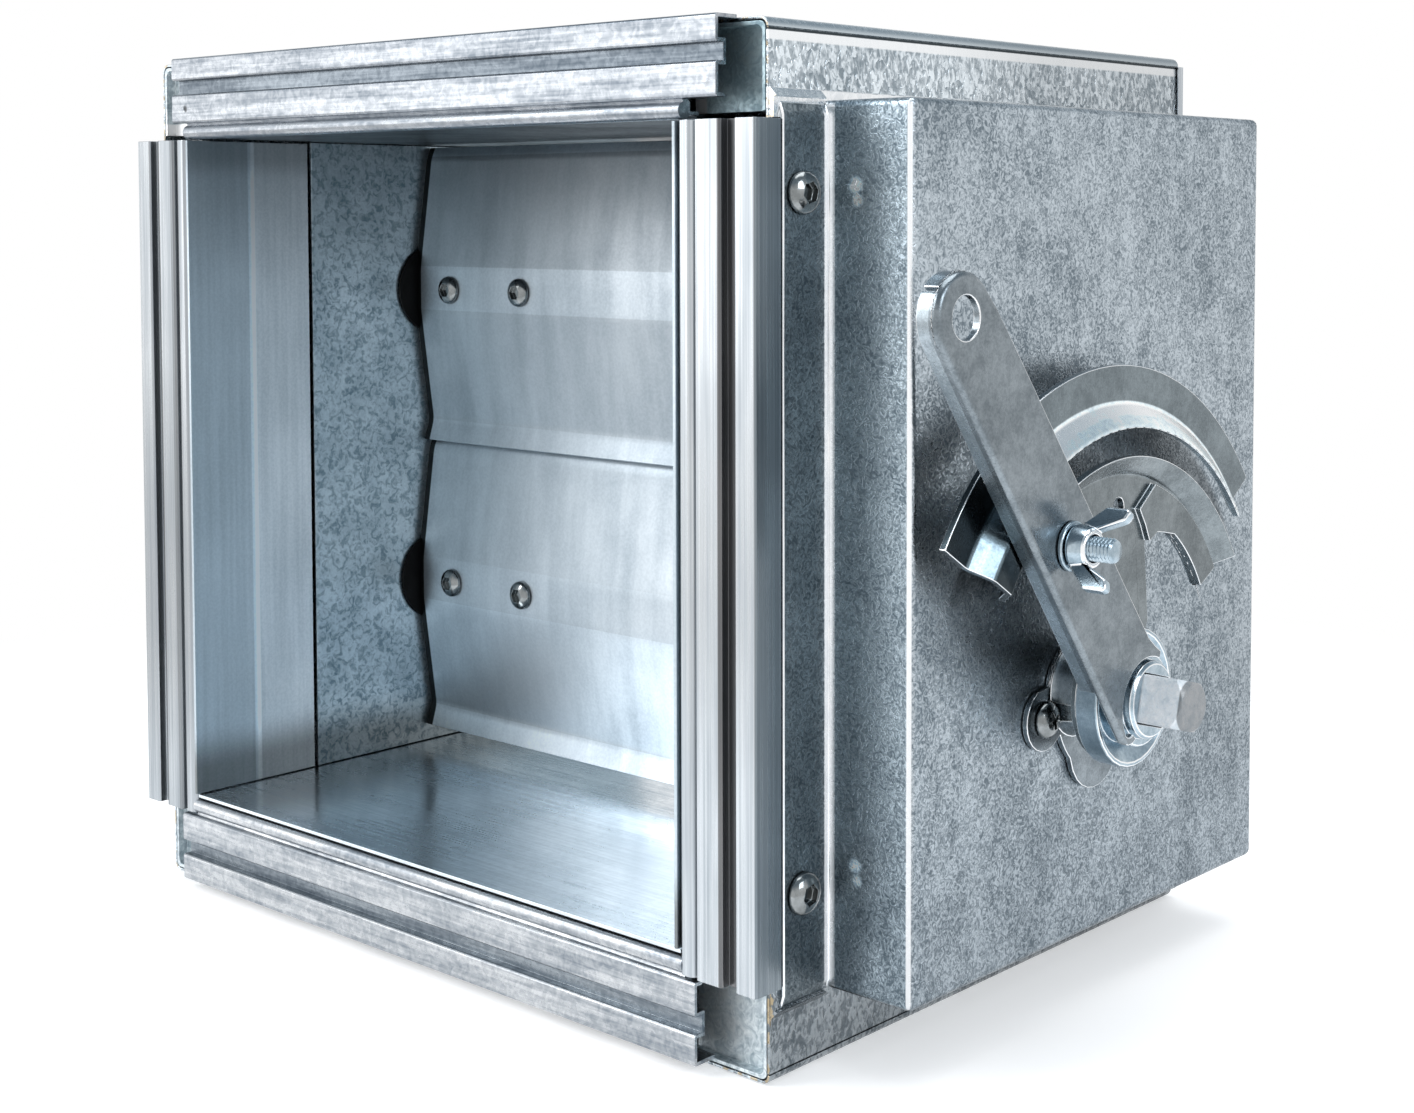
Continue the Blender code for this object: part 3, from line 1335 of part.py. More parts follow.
def square_bore(target, low, high, gap):
    """A square hole for the drive stub, turned with it."""
    square = rounded_square(SHAFT_HALF + gap, SHAFT_EDGE)
    turn = math.radians(-STUB_TURN)
    return cut(target, plate("cutter", [square], low, high, "X", None, dial_centre(), turn, CUTTERS))


def build_drive():
    """The stub, which carries the lever's turn through the cover, and the dished collar it passes through."""
    start_x = SHAFT_RIGHT_X + SEAT_GAP
    square = rounded_square(SHAFT_HALF, SHAFT_EDGE)
    turn = math.radians(-STUB_TURN)
    stub = plate("drive_stub", [square], start_x, STUB_END_X, "X", ZINC, dial_centre(), turn)
    bake(stub)
    reach = SHAFT_HALF * math.sqrt(2.0)
    taper_end = STUB_END_X - STUB_CHAMFER - (reach - SHAFT_HALF)
    cone = [
        (0.0, STUB_END_X),
        (SHAFT_HALF - STUB_END_EASE, STUB_END_X),
        (SHAFT_HALF + STUB_CHAMFER, STUB_END_X - STUB_CHAMFER),
        (reach + CUT, taper_end),
        (reach + CUT, start_x - CUT),
        (0.0, start_x - CUT),
    ]
    keep = turned("cutter", cone, "X", None, dial_centre(), collection=CUTTERS)
    smooth(combine(stub, keep, "INTERSECT"))
    rim_x = COLLAR_X + COLLAR_RIM
    seat_x = LEVER_BACK_X - SEAT_GAP
    neck_x = LEVER_FACE_X + COLLAR_NECK_RISE
    profile = [
        (0.0, neck_x),
        (COLLAR_NECK_RADIUS - COLLAR_EDGE, neck_x),
        (COLLAR_NECK_RADIUS, neck_x - COLLAR_EDGE),
        (COLLAR_NECK_RADIUS, seat_x),
        (COLLAR_SEAT_RADIUS - COLLAR_EDGE / 2, seat_x),
        (COLLAR_SEAT_RADIUS, seat_x - COLLAR_EDGE / 2),
        (COLLAR_DISH_RADIUS, rim_x - COLLAR_DISH_DEPTH),
        (COLLAR_RADIUS - COLLAR_RIM_WALL, rim_x),
        (COLLAR_RADIUS - COLLAR_RIM_WALL / 4, rim_x),
        (COLLAR_RADIUS, rim_x - COLLAR_RIM_WALL / 2),
        (COLLAR_RADIUS, COLLAR_X + COLLAR_EDGE / 2),
        (COLLAR_RADIUS - COLLAR_EDGE / 2, COLLAR_X),
        (0.0, COLLAR_X),
    ]
    collar = turned("shaft_collar", profile, "X", ZINC, dial_centre())
    square_bore(collar, COLLAR_X - CUT, neck_x + CUT, SEAT_GAP)
    smooth(collar)


def lever_place(along, aside):
    """The world place of a place on the lever, which is measured along and to the right of its own line."""
    lean = math.radians(LEVER_ANGLE)
    out = along * math.sin(lean) + aside * math.cos(lean)
    high = along * math.cos(lean) - aside * math.sin(lean)
    return (0.0, BLADE_AXIS_Y + out, LOWER_AXIS_Z + high)


def lever_outline():
    """The lever seen from the right, as (aside, along): its open jaw holds the collar's neck.

    It runs round the jaw, up the folded left side, over the round tip and down to the small step at the right.
    """
    jaw = (JAW_OFFSET, 0.0)
    foot = LEVER_MIDDLE + LEVER_FOOT_WIDTH
    mouth = math.degrees(math.asin(LEVER_STEP_LOW / JAW_RADIUS))
    inside = arc(jaw, JAW_RADIUS, mouth, 180.0 - JAW_TOE_SPREAD, 14)
    toe = (LEVER_LEFT + JAW_WALL + JAW_TOE_RADIUS, JAW_TOE_RISE)
    inside += arc(toe, JAW_TOE_RADIUS, 180.0, JAW_TOE_END, 6)
    outside = arc(toe, JAW_TOE_RADIUS + JAW_WALL, JAW_TOE_END, 180.0, 6)
    tip = (LEVER_MIDDLE, LEVER_TIP_DISTANCE)
    lean = math.degrees(math.atan2(foot - LEVER_MIDDLE - LEVER_TIP_RADIUS, LEVER_TIP_DISTANCE))
    top = arc(tip, LEVER_TIP_RADIUS, 180.0, lean, 16)
    step = [
        (foot, LEVER_STEP_HIGH),
        (foot + LEVER_STEP_OUT / 2, (LEVER_STEP_HIGH + LEVER_STEP_LOW) / 2),
        (foot + LEVER_STEP_OUT, LEVER_STEP_LOW + LEVER_STEP_OUT / 2),
        (foot + LEVER_STEP_OUT / 2, LEVER_STEP_LOW),
    ]
    return inside + outside + top + step


def flange_zone(inset):
    """The lever's folded left side and round tip, moved inwards by the inset."""
    tip = (LEVER_MIDDLE, LEVER_TIP_DISTANCE)
    radius = LEVER_TIP_RADIUS - inset
    top = arc(tip, radius, 180.0, 0.0, 16)
    return [(LEVER_LEFT + inset, LEVER_FLANGE_START)] + top


def build_lever():
    """One pressed plate with an edge folded towards the cover along its left side and round its tip."""
    turn = math.radians(-LEVER_ANGLE)
    centre = dial_centre()
    lever = plate("lever", [lever_outline()], LEVER_BACK_X, LEVER_FACE_X, "X", PRESSED_STEEL, centre, turn)
    soften_fold(lever)
    outside = flange_zone(0.0)
    inside = flange_zone(LEVER_SHEET)
    fold = plate(
        "cutter",
        [outside + inside[::-1]],
        LEVER_FLANGE_END_X,
        LEVER_FACE_X - (LEVER_SHEET + LEVER_BEND) / 2,
        "X",
        PRESSED_STEEL,
        centre,
        turn,
        CUTTERS,
    )
    join(lever, fold)
    low = LEVER_FLANGE_END_X - CUT

    def remove(outline):
        cut(lever, plate("cutter", [outline], low, LEVER_BACK_X, "X", None, centre, turn, CUTTERS))

    tip = Vector((LEVER_MIDDLE, LEVER_TIP_DISTANCE))
    slit = Matrix.Rotation(math.radians(TAB_SLIT_ANGLE), 2)
    half = TAB_SLIT_WIDTH / 2
    reach = LEVER_TIP_RADIUS + CUT
    root = LEVER_TIP_RADIUS - LEVER_SHEET - CUT
    sides = ((-half, root), (half, root), (half, reach), (-half, reach))
    remove([tuple(tip + slit @ Vector(corner)) for corner in sides])
    end = Matrix.Rotation(math.radians(TAB_END_ANGLE), 2)
    below = ((0.0, root), (0.0, reach), (root, reach), (root, root))
    remove([tuple(tip + end @ Vector(corner)) for corner in below])
    for along, aside, radius in (
        (BOLT_DISTANCE, BOLT_OFFSET, BOLT_RADIUS + SEAT_GAP),
        (LEVER_TIP_DISTANCE, LEVER_MIDDLE, LEVER_TIP_HOLE_RADIUS),
    ):
        place = lever_place(along, aside)
        cut_drum(lever, radius, LEVER_BACK_X - CUT, LEVER_FACE_X + CUT, "X", place, ROUND_STEPS)
    smooth(lever)


def soften_fold(lever):
    """Rounds the fold: the face's outer edge along the left side and round the tip."""
    work = bmesh.new()
    work.from_mesh(lever.data)
    bmesh.ops.dissolve_limit(work, angle_limit=0.001, verts=work.verts, edges=work.edges)
    bend = []
    for edge in work.edges:
        first, second = (vertex.co for vertex in edge.verts)
        on_face = min(first.z, second.z) > LEVER_FACE_X - SEAT_GAP
        left_side = max(first.x, second.x) < LEVER_LEFT + CUT
        round_tip = min(first.y, second.y) > LEVER_TIP_DISTANCE - SEAT_GAP
        if on_face and (left_side or round_tip):
            bend.append(edge)
    bmesh.ops.bevel(work, geom=bend, offset=LEVER_BEND, segments=3, profile=0.5, affect="EDGES")
    work.to_mesh(lever.data)
    work.free()


def build_clamp():
    """The clamp bolt through the lever, its washer and its wing nut."""
    place = lever_place(BOLT_DISTANCE, BOLT_OFFSET)
    under = LEVER_BACK_X - SEAT_GAP
    bolt_profile = [
        (0.0, BOLT_END_X),
        (BOLT_RADIUS - BOLT_EDGE, BOLT_END_X),
        (BOLT_RADIUS, BOLT_END_X - BOLT_EDGE),
        (BOLT_RADIUS, under),
        (BOLT_HEAD_RADIUS, under),
        (BOLT_HEAD_RADIUS, under - BOLT_HEAD + BOLT_EDGE),
        (BOLT_HEAD_RADIUS - BOLT_EDGE, under - BOLT_HEAD),
        (0.0, under - BOLT_HEAD),
    ]
    smooth(turned("clamp_bolt", bolt_profile, "X", ZINC, place, 0.0, ROUND_STEPS))
    washer_x = LEVER_FACE_X + SEAT_GAP
    bore = BOLT_RADIUS + SEAT_GAP
    washer_profile = [
        (bore, washer_x + WASHER),
        (WASHER_RADIUS - WASHER_EDGE, washer_x + WASHER),
        (WASHER_RADIUS, washer_x + WASHER - WASHER_EDGE),
        (WASHER_RADIUS, washer_x),
        (bore, washer_x),
    ]
    smooth(turned("clamp_washer", washer_profile, "X", ZINC, place, 0.0, ROUND_STEPS))
    nut_x = washer_x + WASHER + SEAT_GAP
    nut_profile = [
        (bore, nut_x + NUT_HEIGHT),
        (NUT_WAIST - NUT_EDGE / 2, nut_x + NUT_HEIGHT),
        (NUT_WAIST, nut_x + NUT_HEIGHT - NUT_EDGE / 2),
        (NUT_RADIUS, nut_x + NUT_EDGE),
        (NUT_RADIUS - NUT_EDGE / 3, nut_x),
        (bore, nut_x),
    ]
    nut = turned("wing_nut", nut_profile, "X", ZINC, place, 0.0, ROUND_STEPS)
    bake(nut)
    root = (bore + NUT_WAIST) / 2
    for sign in (-1, 1):
        foot = [(root, WING_FOOT), (NUT_RADIUS, WING_FOOT), (WING_SPAN, WING_RISE - WING_WIDTH)]
        end = [(WING_SPAN, WING_RISE - WING_EDGE), (WING_SPAN - WING_EDGE, WING_RISE)]
        inner = [(WING_SPAN - WING_WIDTH / 2, WING_RISE - WING_EDGE), (root, NUT_HEIGHT - NUT_EDGE)]
        wing = [(sign * across, high) for across, high in foot + end + inner]
        sheet = plate("cutter", [wing], -WING_SHEET / 2, WING_SHEET / 2, "Z", ZINC, collection=CUTTERS)
        rounded(sheet, WING_EDGE, 2)
        bake(sheet)
        spin = math.radians(90.0 - WING_TURN)
        stand = Matrix(((0, 1, 0), (1, 0, 0), (0, 0, -1))).to_4x4()
        lift = Matrix.Translation((nut_x, place[1], place[2]))
        sheet.matrix_world = lift @ Matrix.Rotation(spin, 4, "X") @ stand
        join(nut, sheet)
    smooth(nut)


build_casing()
build_duct()
build_front_rails()
build_front_corners()
build_rear_rails()
build_blades()
build_shafts()
build_bushes()
build_linkage()
build_cover()
build_bracket()
build_quadrant()
build_drive()
build_lever()
build_clamp()
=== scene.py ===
"""Looks of the volume control damper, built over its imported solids.

Every length is in metres unless a name ends in _mm. X runs across the duct, Y from the front
flange to the rear one, Z up, with the origin in the middle of the casing's bottom face.
"""

from __future__ import annotations

import json
import logging
import math
from dataclasses import dataclass, field
from enum import Enum

import bmesh
import bpy
import numpy as np
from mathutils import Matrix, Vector

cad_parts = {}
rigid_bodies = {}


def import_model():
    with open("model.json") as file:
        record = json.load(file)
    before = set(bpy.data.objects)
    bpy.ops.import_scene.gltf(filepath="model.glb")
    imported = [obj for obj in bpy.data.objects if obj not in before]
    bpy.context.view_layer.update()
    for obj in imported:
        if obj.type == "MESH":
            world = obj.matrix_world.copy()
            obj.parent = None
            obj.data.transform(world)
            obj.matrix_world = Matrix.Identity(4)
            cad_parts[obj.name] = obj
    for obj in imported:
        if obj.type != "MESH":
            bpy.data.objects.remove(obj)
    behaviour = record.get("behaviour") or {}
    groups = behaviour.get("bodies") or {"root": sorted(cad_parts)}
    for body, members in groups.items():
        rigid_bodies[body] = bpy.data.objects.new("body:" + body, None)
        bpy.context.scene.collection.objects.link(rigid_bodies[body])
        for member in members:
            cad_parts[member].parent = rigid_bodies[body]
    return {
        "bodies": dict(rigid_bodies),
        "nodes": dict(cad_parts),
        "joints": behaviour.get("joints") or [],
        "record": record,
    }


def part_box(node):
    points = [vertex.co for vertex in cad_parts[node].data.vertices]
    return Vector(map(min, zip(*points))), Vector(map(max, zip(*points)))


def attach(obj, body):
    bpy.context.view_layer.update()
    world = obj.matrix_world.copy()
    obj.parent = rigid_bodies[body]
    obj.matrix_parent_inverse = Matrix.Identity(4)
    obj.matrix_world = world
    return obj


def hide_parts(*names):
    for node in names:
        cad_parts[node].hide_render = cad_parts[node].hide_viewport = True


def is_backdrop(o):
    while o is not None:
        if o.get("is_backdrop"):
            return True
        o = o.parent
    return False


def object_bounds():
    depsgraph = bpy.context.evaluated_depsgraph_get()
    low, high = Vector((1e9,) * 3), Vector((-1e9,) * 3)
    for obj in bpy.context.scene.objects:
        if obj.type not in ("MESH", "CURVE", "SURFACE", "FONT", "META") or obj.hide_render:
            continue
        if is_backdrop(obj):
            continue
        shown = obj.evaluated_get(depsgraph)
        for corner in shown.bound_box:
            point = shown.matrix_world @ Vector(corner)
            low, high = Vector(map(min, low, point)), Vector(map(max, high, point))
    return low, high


LOG = logging.getLogger("damper")
MM = 0.001
SAME_PLACE = 1e-7

Tree = bpy.types.NodeTree
Socket = bpy.types.NodeSocket

TIMES = {"operation": "MULTIPLY"}
TIMES_PLUS = {"operation": "MULTIPLY_ADD"}
GREATER = {"operation": "MAXIMUM"}
SMOOTH = {"interpolation_type": "SMOOTHSTEP"}
COLOURS = {"data_type": "RGBA"}


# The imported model


@dataclass
class Frame:
    """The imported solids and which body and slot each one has."""

    loaded: dict
    body_of: dict[str, str] = field(default_factory=dict)
    slot_of: dict[str, str] = field(default_factory=dict)

    def __post_init__(self) -> None:
        """Reads the record's lists."""
        record = self.loaded["record"]
        for body, nodes in record["behaviour"]["bodies"].items():
            for node in nodes:
                self.body_of[node] = body
        for entry in record["subparts"]:
            self.slot_of[entry["node"]] = entry["material_slot"]

    def node(self, name: str) -> bpy.types.Object:
        """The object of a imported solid."""
        return self.loaded["nodes"][name]


# Colours and shader nodes


def linear(colour: str, gain: float = 1.0) -> tuple[float, float, float, float]:
    """Turns an sRGB hex value to linear light.

    Args:
        colour: Six hex digits after a hash sign.
        gain: A factor on the linear value.

    Returns:
        Red, green, blue and alpha, from 0 to 1.
    """
    parts = [int(colour[start : start + 2], 16) / 255 for start in (1, 3, 5)]
    lit = [part / 12.92 if part <= 0.04045 else ((part + 0.055) / 1.055) ** 2.4 for part in parts]
    return (*(min(value * gain, 1.0) for value in lit), 1.0)


def add_node(
    tree: Tree, kind: str, settings: dict | None = None, inputs: dict | None = None
) -> bpy.types.Node:
    """Adds a node with its settings and inputs.

    Args:
        tree: The node tree that takes the node.
        kind: The node's type name without the ShaderNode prefix.
        settings: The node's own properties, with their values.
        inputs: Input sockets by name or number, each with a value or the output socket that feeds it.

    Returns:
        The new node.
    """
    node = tree.nodes.new("ShaderNode" + kind)
    for name, value in (settings or {}).items():
        setattr(node, name, value)
    for key, value in (inputs or {}).items():
        if isinstance(value, Socket):
            tree.links.new(value, node.inputs[key])
        else:
            node.inputs[key].default_value = value
    return node


def within(tree: Tree, *spans: tuple[Socket, float | None, float | None, float]) -> Socket:
    """The share of a place that lies within some spans: 1 inside all of them, 0 past their borders.

    Each border is an S curve.

    Args:
        tree: The node tree.
        spans: Each has a value's socket, its low and its high end and how wide its borders are. None is
            no end.

    Returns:
        The socket of the share.
    """
    share: Socket | float = 1.0
    for value, low, high, soft in spans:
        steps = []
        if low is not None:
            steps.append({1: low - soft, 2: low, 3: 0.0, 4: 1.0})
        if high is not None:
            steps.append({1: high, 2: high + soft, 3: 1.0, 4: 0.0})
        for step in steps:
            border = add_node(tree, "MapRange", SMOOTH, {0: value, **step}).outputs[0]
            share = add_node(tree, "Math", TIMES, {0: share, 1: border}).outputs[0]
    return share


# Finishes


@dataclass(frozen=True)
class Pattern:
    """One layer of change in a sheet's tone: a noise of a real size, and how much it shows.

    The noise is centred on nought and stretched by contrast, so that its usual range is -1 to 1. Relief
    is the height in millimetres that goes with it. A curl over nought winds the noise into worm-like
    lines.
    """

    size_mm: tuple[float, float, float]
    weight: float
    relief: float = 0.0
    curl: float = 0.0
    contrast: float = 5.0
    detail: float = 2.0
    shift: float = 0.0
    grit: float = 0.6

    def value(self, tree: Tree, mm: Socket) -> Socket:
        """The layer's socket, about -1 to 1.

        Args:
            tree: The material's node tree.
            mm: The object coordinates in millimetres.

        Returns:
            The socket of the layer's value.
        """
        scale = tuple(1 / size for size in self.size_mm)
        shaped = add_node(tree, "Mapping", inputs={"Vector": mm, "Scale": scale}).outputs[0]
        grain = {"Scale": 1.0, "Detail": self.detail, "Roughness": self.grit, "Distortion": self.curl}
        noise = add_node(tree, "TexNoise", inputs={"Vector": shaped, **grain}).outputs["Fac"]
        spread = 1 / self.contrast
        middle = 0.5 + self.shift
        ends = {1: middle - spread, 2: middle + spread, 3: -1.0, 4: 1.0}
        return add_node(tree, "MapRange", SMOOTH, {0: noise, **ends}).outputs[0]


def even(size: float, weight: float, **more: float) -> Pattern:
    """A pattern of the same size along every axis."""
    return Pattern((size, size, size), weight, **more)


@dataclass(frozen=True)
class Zone:
    """A box of a sheet, in millimetres, that is lighter or darker than the rest.

    None leaves an end open. A plain zone takes its tint as its colour, smooth and without the sheet's
    pattern.
    """

    gain: float
    x: tuple[float | None, float | None] = (None, None)
    y: tuple[float | None, float | None] = (None, None)
    z: tuple[float | None, float | None] = (None, None)
    soft: float = 0.5
    tint: str = "#ffffff"
    plain: bool = False

    def mask(self, tree: Tree, mm: Socket) -> Socket:
        """The zone's share: 1 inside it, falling to 0 over its soft border.

        Args:
            tree: The material's node tree.
            mm: The object coordinates in millimetres.

        Returns:
            The socket of the share.
        """
        parts = add_node(tree, "SeparateXYZ", inputs={0: mm}).outputs
        ends = zip(parts, (self.x, self.y, self.z))
        return within(tree, *((place, *end, self.soft) for place, end in ends))


@dataclass(frozen=True)
class Ring:
    """A ring of a sheet seen along X, that is lighter or darker than the rest.

    Its middle is a place in Y and Z, and it may start at a height, over a soft border of its own.
    """

    gain: float
    inner: float | None
    outer: float
    soft: float = 0.6
    middle: tuple[float, float] = (-5.3, 84.4)
    tint: str = "#ffffff"
    plain: bool = False
    above: float | None = None
    above_soft: float = 8.0

    def mask(self, tree: Tree, mm: Socket) -> Socket:
        """The ring's share: 1 between its radii, falling to 0 over its soft border.

        Args:
            tree: The material's node tree.
            mm: The object coordinates in millimetres.

        Returns:
            The socket of the share.
        """
        height = add_node(tree, "SeparateXYZ", inputs={0: mm}).outputs["Z"]
        flat = add_node(tree, "VectorMath", TIMES, {0: mm, 1: (0.0, 1.0, 1.0)}).outputs[0]
        middle = {0: flat, 1: (0.0, *self.middle)}
        away = add_node(tree, "VectorMath", {"operation": "DISTANCE"}, middle).outputs["Value"]
        return within(
            tree, (away, self.inner, self.outer, self.soft), (height, self.above, None, self.above_soft)
        )


@dataclass(frozen=True)
class Spot:
    """A round mark on a sheet: its place, radius and height in millimetres, and its gain at the middle."""

    place: tuple[float, float, float]
    radius: float
    height: float
    gain: float = 1.0

    def mask(self, tree: Tree, mm: Socket) -> Socket:
        """The mark's share: 1 at its middle, falling to 0 at its radius.

        Args:
            tree: The material's node tree.
            mm: The object coordinates in millimetres.

        Returns:
            The socket of the share.
        """
        ends = {0: mm, 1: self.place}
        away = add_node(tree, "VectorMath", {"operation": "DISTANCE"}, ends).outputs["Value"]
        return within(tree, (away, None, 0.0, self.radius))


@dataclass(frozen=True)
class RawEdge:
    """The cut edge of a galvanised sheet that looks towards the front: bare steel with broken tan rust.

    It lies ahead of one place on Y. A face takes it where its normal's Y is near -1, and the rust shows
    where a noise of the dash's size is over a level.
    """

    behind_mm: float
    colour: str = "#c2ad88"
    dash_mm: float = 2.4
    soft_mm: float = 0.3
    facing: float = -0.9
    facing_soft: float = 0.3
    level: float = 0.56
    level_soft: float = 0.06
    share: float = 0.7

    def over(self, tree: Tree, colour: Socket, mm: Socket) -> Socket:
        """Puts the broken rust over a sheet's colour.

        Args:
            tree: The material's node tree.
            colour: The socket of the colour so far.
            mm: The object coordinates in millimetres.

        Returns:
            The socket of the new colour.
        """
        normal = add_node(tree, "NewGeometry").outputs["True Normal"]
        facing = add_node(tree, "SeparateXYZ", inputs={0: normal}).outputs["Y"]
        along = add_node(tree, "SeparateXYZ", inputs={0: mm}).outputs["Y"]
        grain = {"Vector": mm, "Scale": 1 / self.dash_mm, "Detail": 3.0}
        dash = add_node(tree, "TexNoise", inputs=grain).outputs["Fac"]
        rusty = within(
            tree,
            (facing, None, self.facing, self.facing_soft),
            (along, None, self.behind_mm, self.soft_mm),
            (dash, self.level, None, self.level_soft),
        )
        share = add_node(tree, "Math", TIMES, {0: rusty, 1: self.share}).outputs[0]
        return add_node(tree, "Mix", COLOURS, {0: share, 6: colour, 7: linear(self.colour)}).outputs[2]


@dataclass(frozen=True)
class SheetFinish:
    """A metal sheet: two colours, the layers that mix them, what was rolled, pressed or spilt on it, and
    light and shade painted onto it.
    """

    name: str
    light: str
    dark: str
    layers: tuple[Pattern, ...]
    rough: tuple[float, float] = (0.30, 0.45)
    gain: float = 1.0
    zones: tuple[Zone | Ring, ...] = ()
    spots: tuple[Spot, ...] = ()
    edge: RawEdge | None = None
    metallic: float = 1.0
    specular: float = 0.5

    def make(self) -> bpy.types.Material:
        """Builds the material at the first call and finds it again at later ones.

        Returns:
            The material.
        """
        found = bpy.data.materials.get(self.name)
        if found:
            return found
        made = bpy.data.materials.new(self.name)
        made.use_nodes = True
        tree = made.node_tree
        shader = tree.nodes["Principled BSDF"]
        shader.inputs["Metallic"].default_value = self.metallic
        shader.inputs["Specular IOR Level"].default_value = self.specular
        place = add_node(tree, "TexCoord").outputs["Object"]
        mm = add_node(tree, "Mapping", inputs={"Vector": place, "Scale": (1 / MM,) * 3}).outputs[0]
        tone, height = self.layered(tree, mm)
        ends = {0: tone, 6: linear(self.dark, self.gain), 7: linear(self.light, self.gain)}
        colour = add_node(tree, "Mix", COLOURS, ends).outputs[2]
        for zone in self.zones:
            share = zone.mask(tree, mm)
            if zone.plain:
                ends = {0: share, 6: colour, 7: linear(zone.tint, zone.gain)}
                colour = add_node(tree, "Mix", COLOURS, ends).outputs[2]
                rest = add_node(tree, "Math", {"operation": "SUBTRACT"}, {0: 1.0, 1: share}).outputs[0]
                height = add_node(tree, "Math", TIMES, {0: height, 1: rest}).outputs[0]
            else:
                colour = self.lit(tree, colour, share, zone.gain, zone.tint)
        for spot in self.spots:
            share = spot.mask(tree, mm)
            height = add_node(tree, "Math", TIMES_PLUS, {0: share, 1: spot.height, 2: height}).outputs[0]
            colour = self.lit(tree, colour, share, spot.gain, "#ffffff")
        if self.edge:
            colour = self.edge.over(tree, colour, mm)
        tree.links.new(colour, shader.inputs["Base Color"])
        ends = {0: tone, 1: 0.0, 2: 1.0, 3: self.rough[1], 4: self.rough[0]}
        shine = add_node(tree, "MapRange", SMOOTH, ends).outputs[0]
        tree.links.new(shine, shader.inputs["Roughness"])
        if isinstance(height, Socket):
            relief = {"Strength": 1.0, "Distance": MM, "Height": height}
            bump = add_node(tree, "Bump", inputs=relief)
            tree.links.new(bump.outputs["Normal"], shader.inputs["Normal"])
        return made

    def layered(self, tree: Tree, mm: Socket) -> tuple[Socket, Socket | float]:
        """Adds up the layers.

        Args:
            tree: The material's node tree.
            mm: The object coordinates in millimetres.

        Returns:
            The sheet's tone from 0 to 1, and its height in millimetres, which is nought without relief.
        """
        tone, height = 0.5, 0.0
        for layer in self.layers:
            value = layer.value(tree, mm)
            tone = add_node(tree, "Math", TIMES_PLUS, {0: value, 1: layer.weight / 2, 2: tone}).outputs[0]
            if layer.relief:
                rise = {0: value, 1: layer.relief / 2, 2: height}
                height = add_node(tree, "Math", TIMES_PLUS, rise).outputs[0]
        return tone, height

    def lit(self, tree: Tree, colour: Socket, share: Socket, gain: float, tint: str) -> Socket:
        """Multiplies a colour by a gain and a tint where a share is 1.

        Args:
            tree: The material's node tree.
            colour: The socket of the colour so far.
            share: The socket of the share, from 0 to 1.
            gain: The factor on the colour.
            tint: The colour that the factor is given.

        Returns:
            The socket of the new colour.
        """
        factor = tuple(gain * value for value in linear(tint)[:3])
        scaled = add_node(tree, "VectorMath", TIMES, {0: colour, 1: factor}).outputs[0]
        return add_node(tree, "Mix", COLOURS, {0: share, 6: colour, 7: scaled}).outputs[2]


COVER_ZONES = (
    # The fixing strip and the step wall stand in the cover's own shade; its bends catch the light.
    Zone(0.56, x=(None, 129.0), y=(-95.0, -73.6), tint="#eef6f8"),
    Zone(1.04, x=(129.0, 151.0), y=(None, -71.4), tint="#f0f8fc"),
    Zone(1.12, x=(143.0, 150.8), y=(None, -71.4), soft=7.0),
    Zone(1.00, x=(127.4, 129.3), y=(-73.1, -71.4), soft=0.25, tint="#fbfdff", plain=True),
    Zone(1.00, x=(151.2, None), y=(None, -71.1), soft=0.25, tint="#fbfdff", plain=True),
    # The cover's main face is a little lighter, and painted shade darkens it towards the floor.
    Zone(1.06, x=(152.0, None), y=(-70.0, None), tint="#f8fbfd"),
    Zone(0.70, x=(152.0, None), y=(-70.0, None), z=(None, 20.0), soft=110.0),
    # Under the quadrant's slot the cover lies in the lips' shade.
    Ring(0.42, 58.0, 71.0, soft=3.0, middle=(8.0, 82.0), above=118.0),
)
STEP_SPOTS = (
    # Spot-weld marks on the step wall, painted as bright glints over a faint bump.
    Spot((135.8, -71.7, 211.3), 2.6, 0.03, 6.0),
    Spot((136.4, -71.7, 207.8), 2.0, 0.02, 5.0),
    Spot((135.8, -71.7, 50.3), 2.6, 0.03, 6.0),
    Spot((136.4, -71.7, 46.8), 2.0, 0.02, 5.0),
)
RAIL_SPOTS = (
    # A small raised mark painted light as a glint, and a small pit painted dark as the shade in it; both
    # are colour and bump only.
    Spot((112.1, -97.6, 235.4), 1.7, 0.16, 1.6),
    Spot((-101.4, -97.6, 235.55), 1.3, -0.30, 0.12),
)
SKIN_ZONES = (
    # On the right side sheet, painted shade darkens the band near the floor and the rear, plain near-white
    # bands under the top roll, at the tab's height and over the upper tab are painted highlights, and a
    # plain dark line runs just below the top; the top sheet is a plain smooth grey-blue.
    Zone(0.45, x=(124.0, None), z=(None, 21.0), soft=3.0),
    Zone(0.96, x=(124.0, None), z=(244.9, 246.6), soft=0.5, tint="#f6f9fb", plain=True),
    Zone(0.55, x=(124.0, None), z=(246.9, 247.4), soft=0.15, tint="#4c565c", plain=True),
    Zone(1.00, z=(247.7, None), soft=0.3, tint="#bcc6cc", plain=True),
    Zone(0.98, x=(125.6, None), y=(None, -70.0), z=(200.0, 240.0), soft=0.2, tint="#f6f9fb", plain=True),
    Zone(0.96, x=(124.0, None), z=(229.0, 233.4), soft=0.5, tint="#f4f7f9", plain=True),
    Zone(0.76, x=(124.0, None), y=(30.0, None), soft=70.0),
)
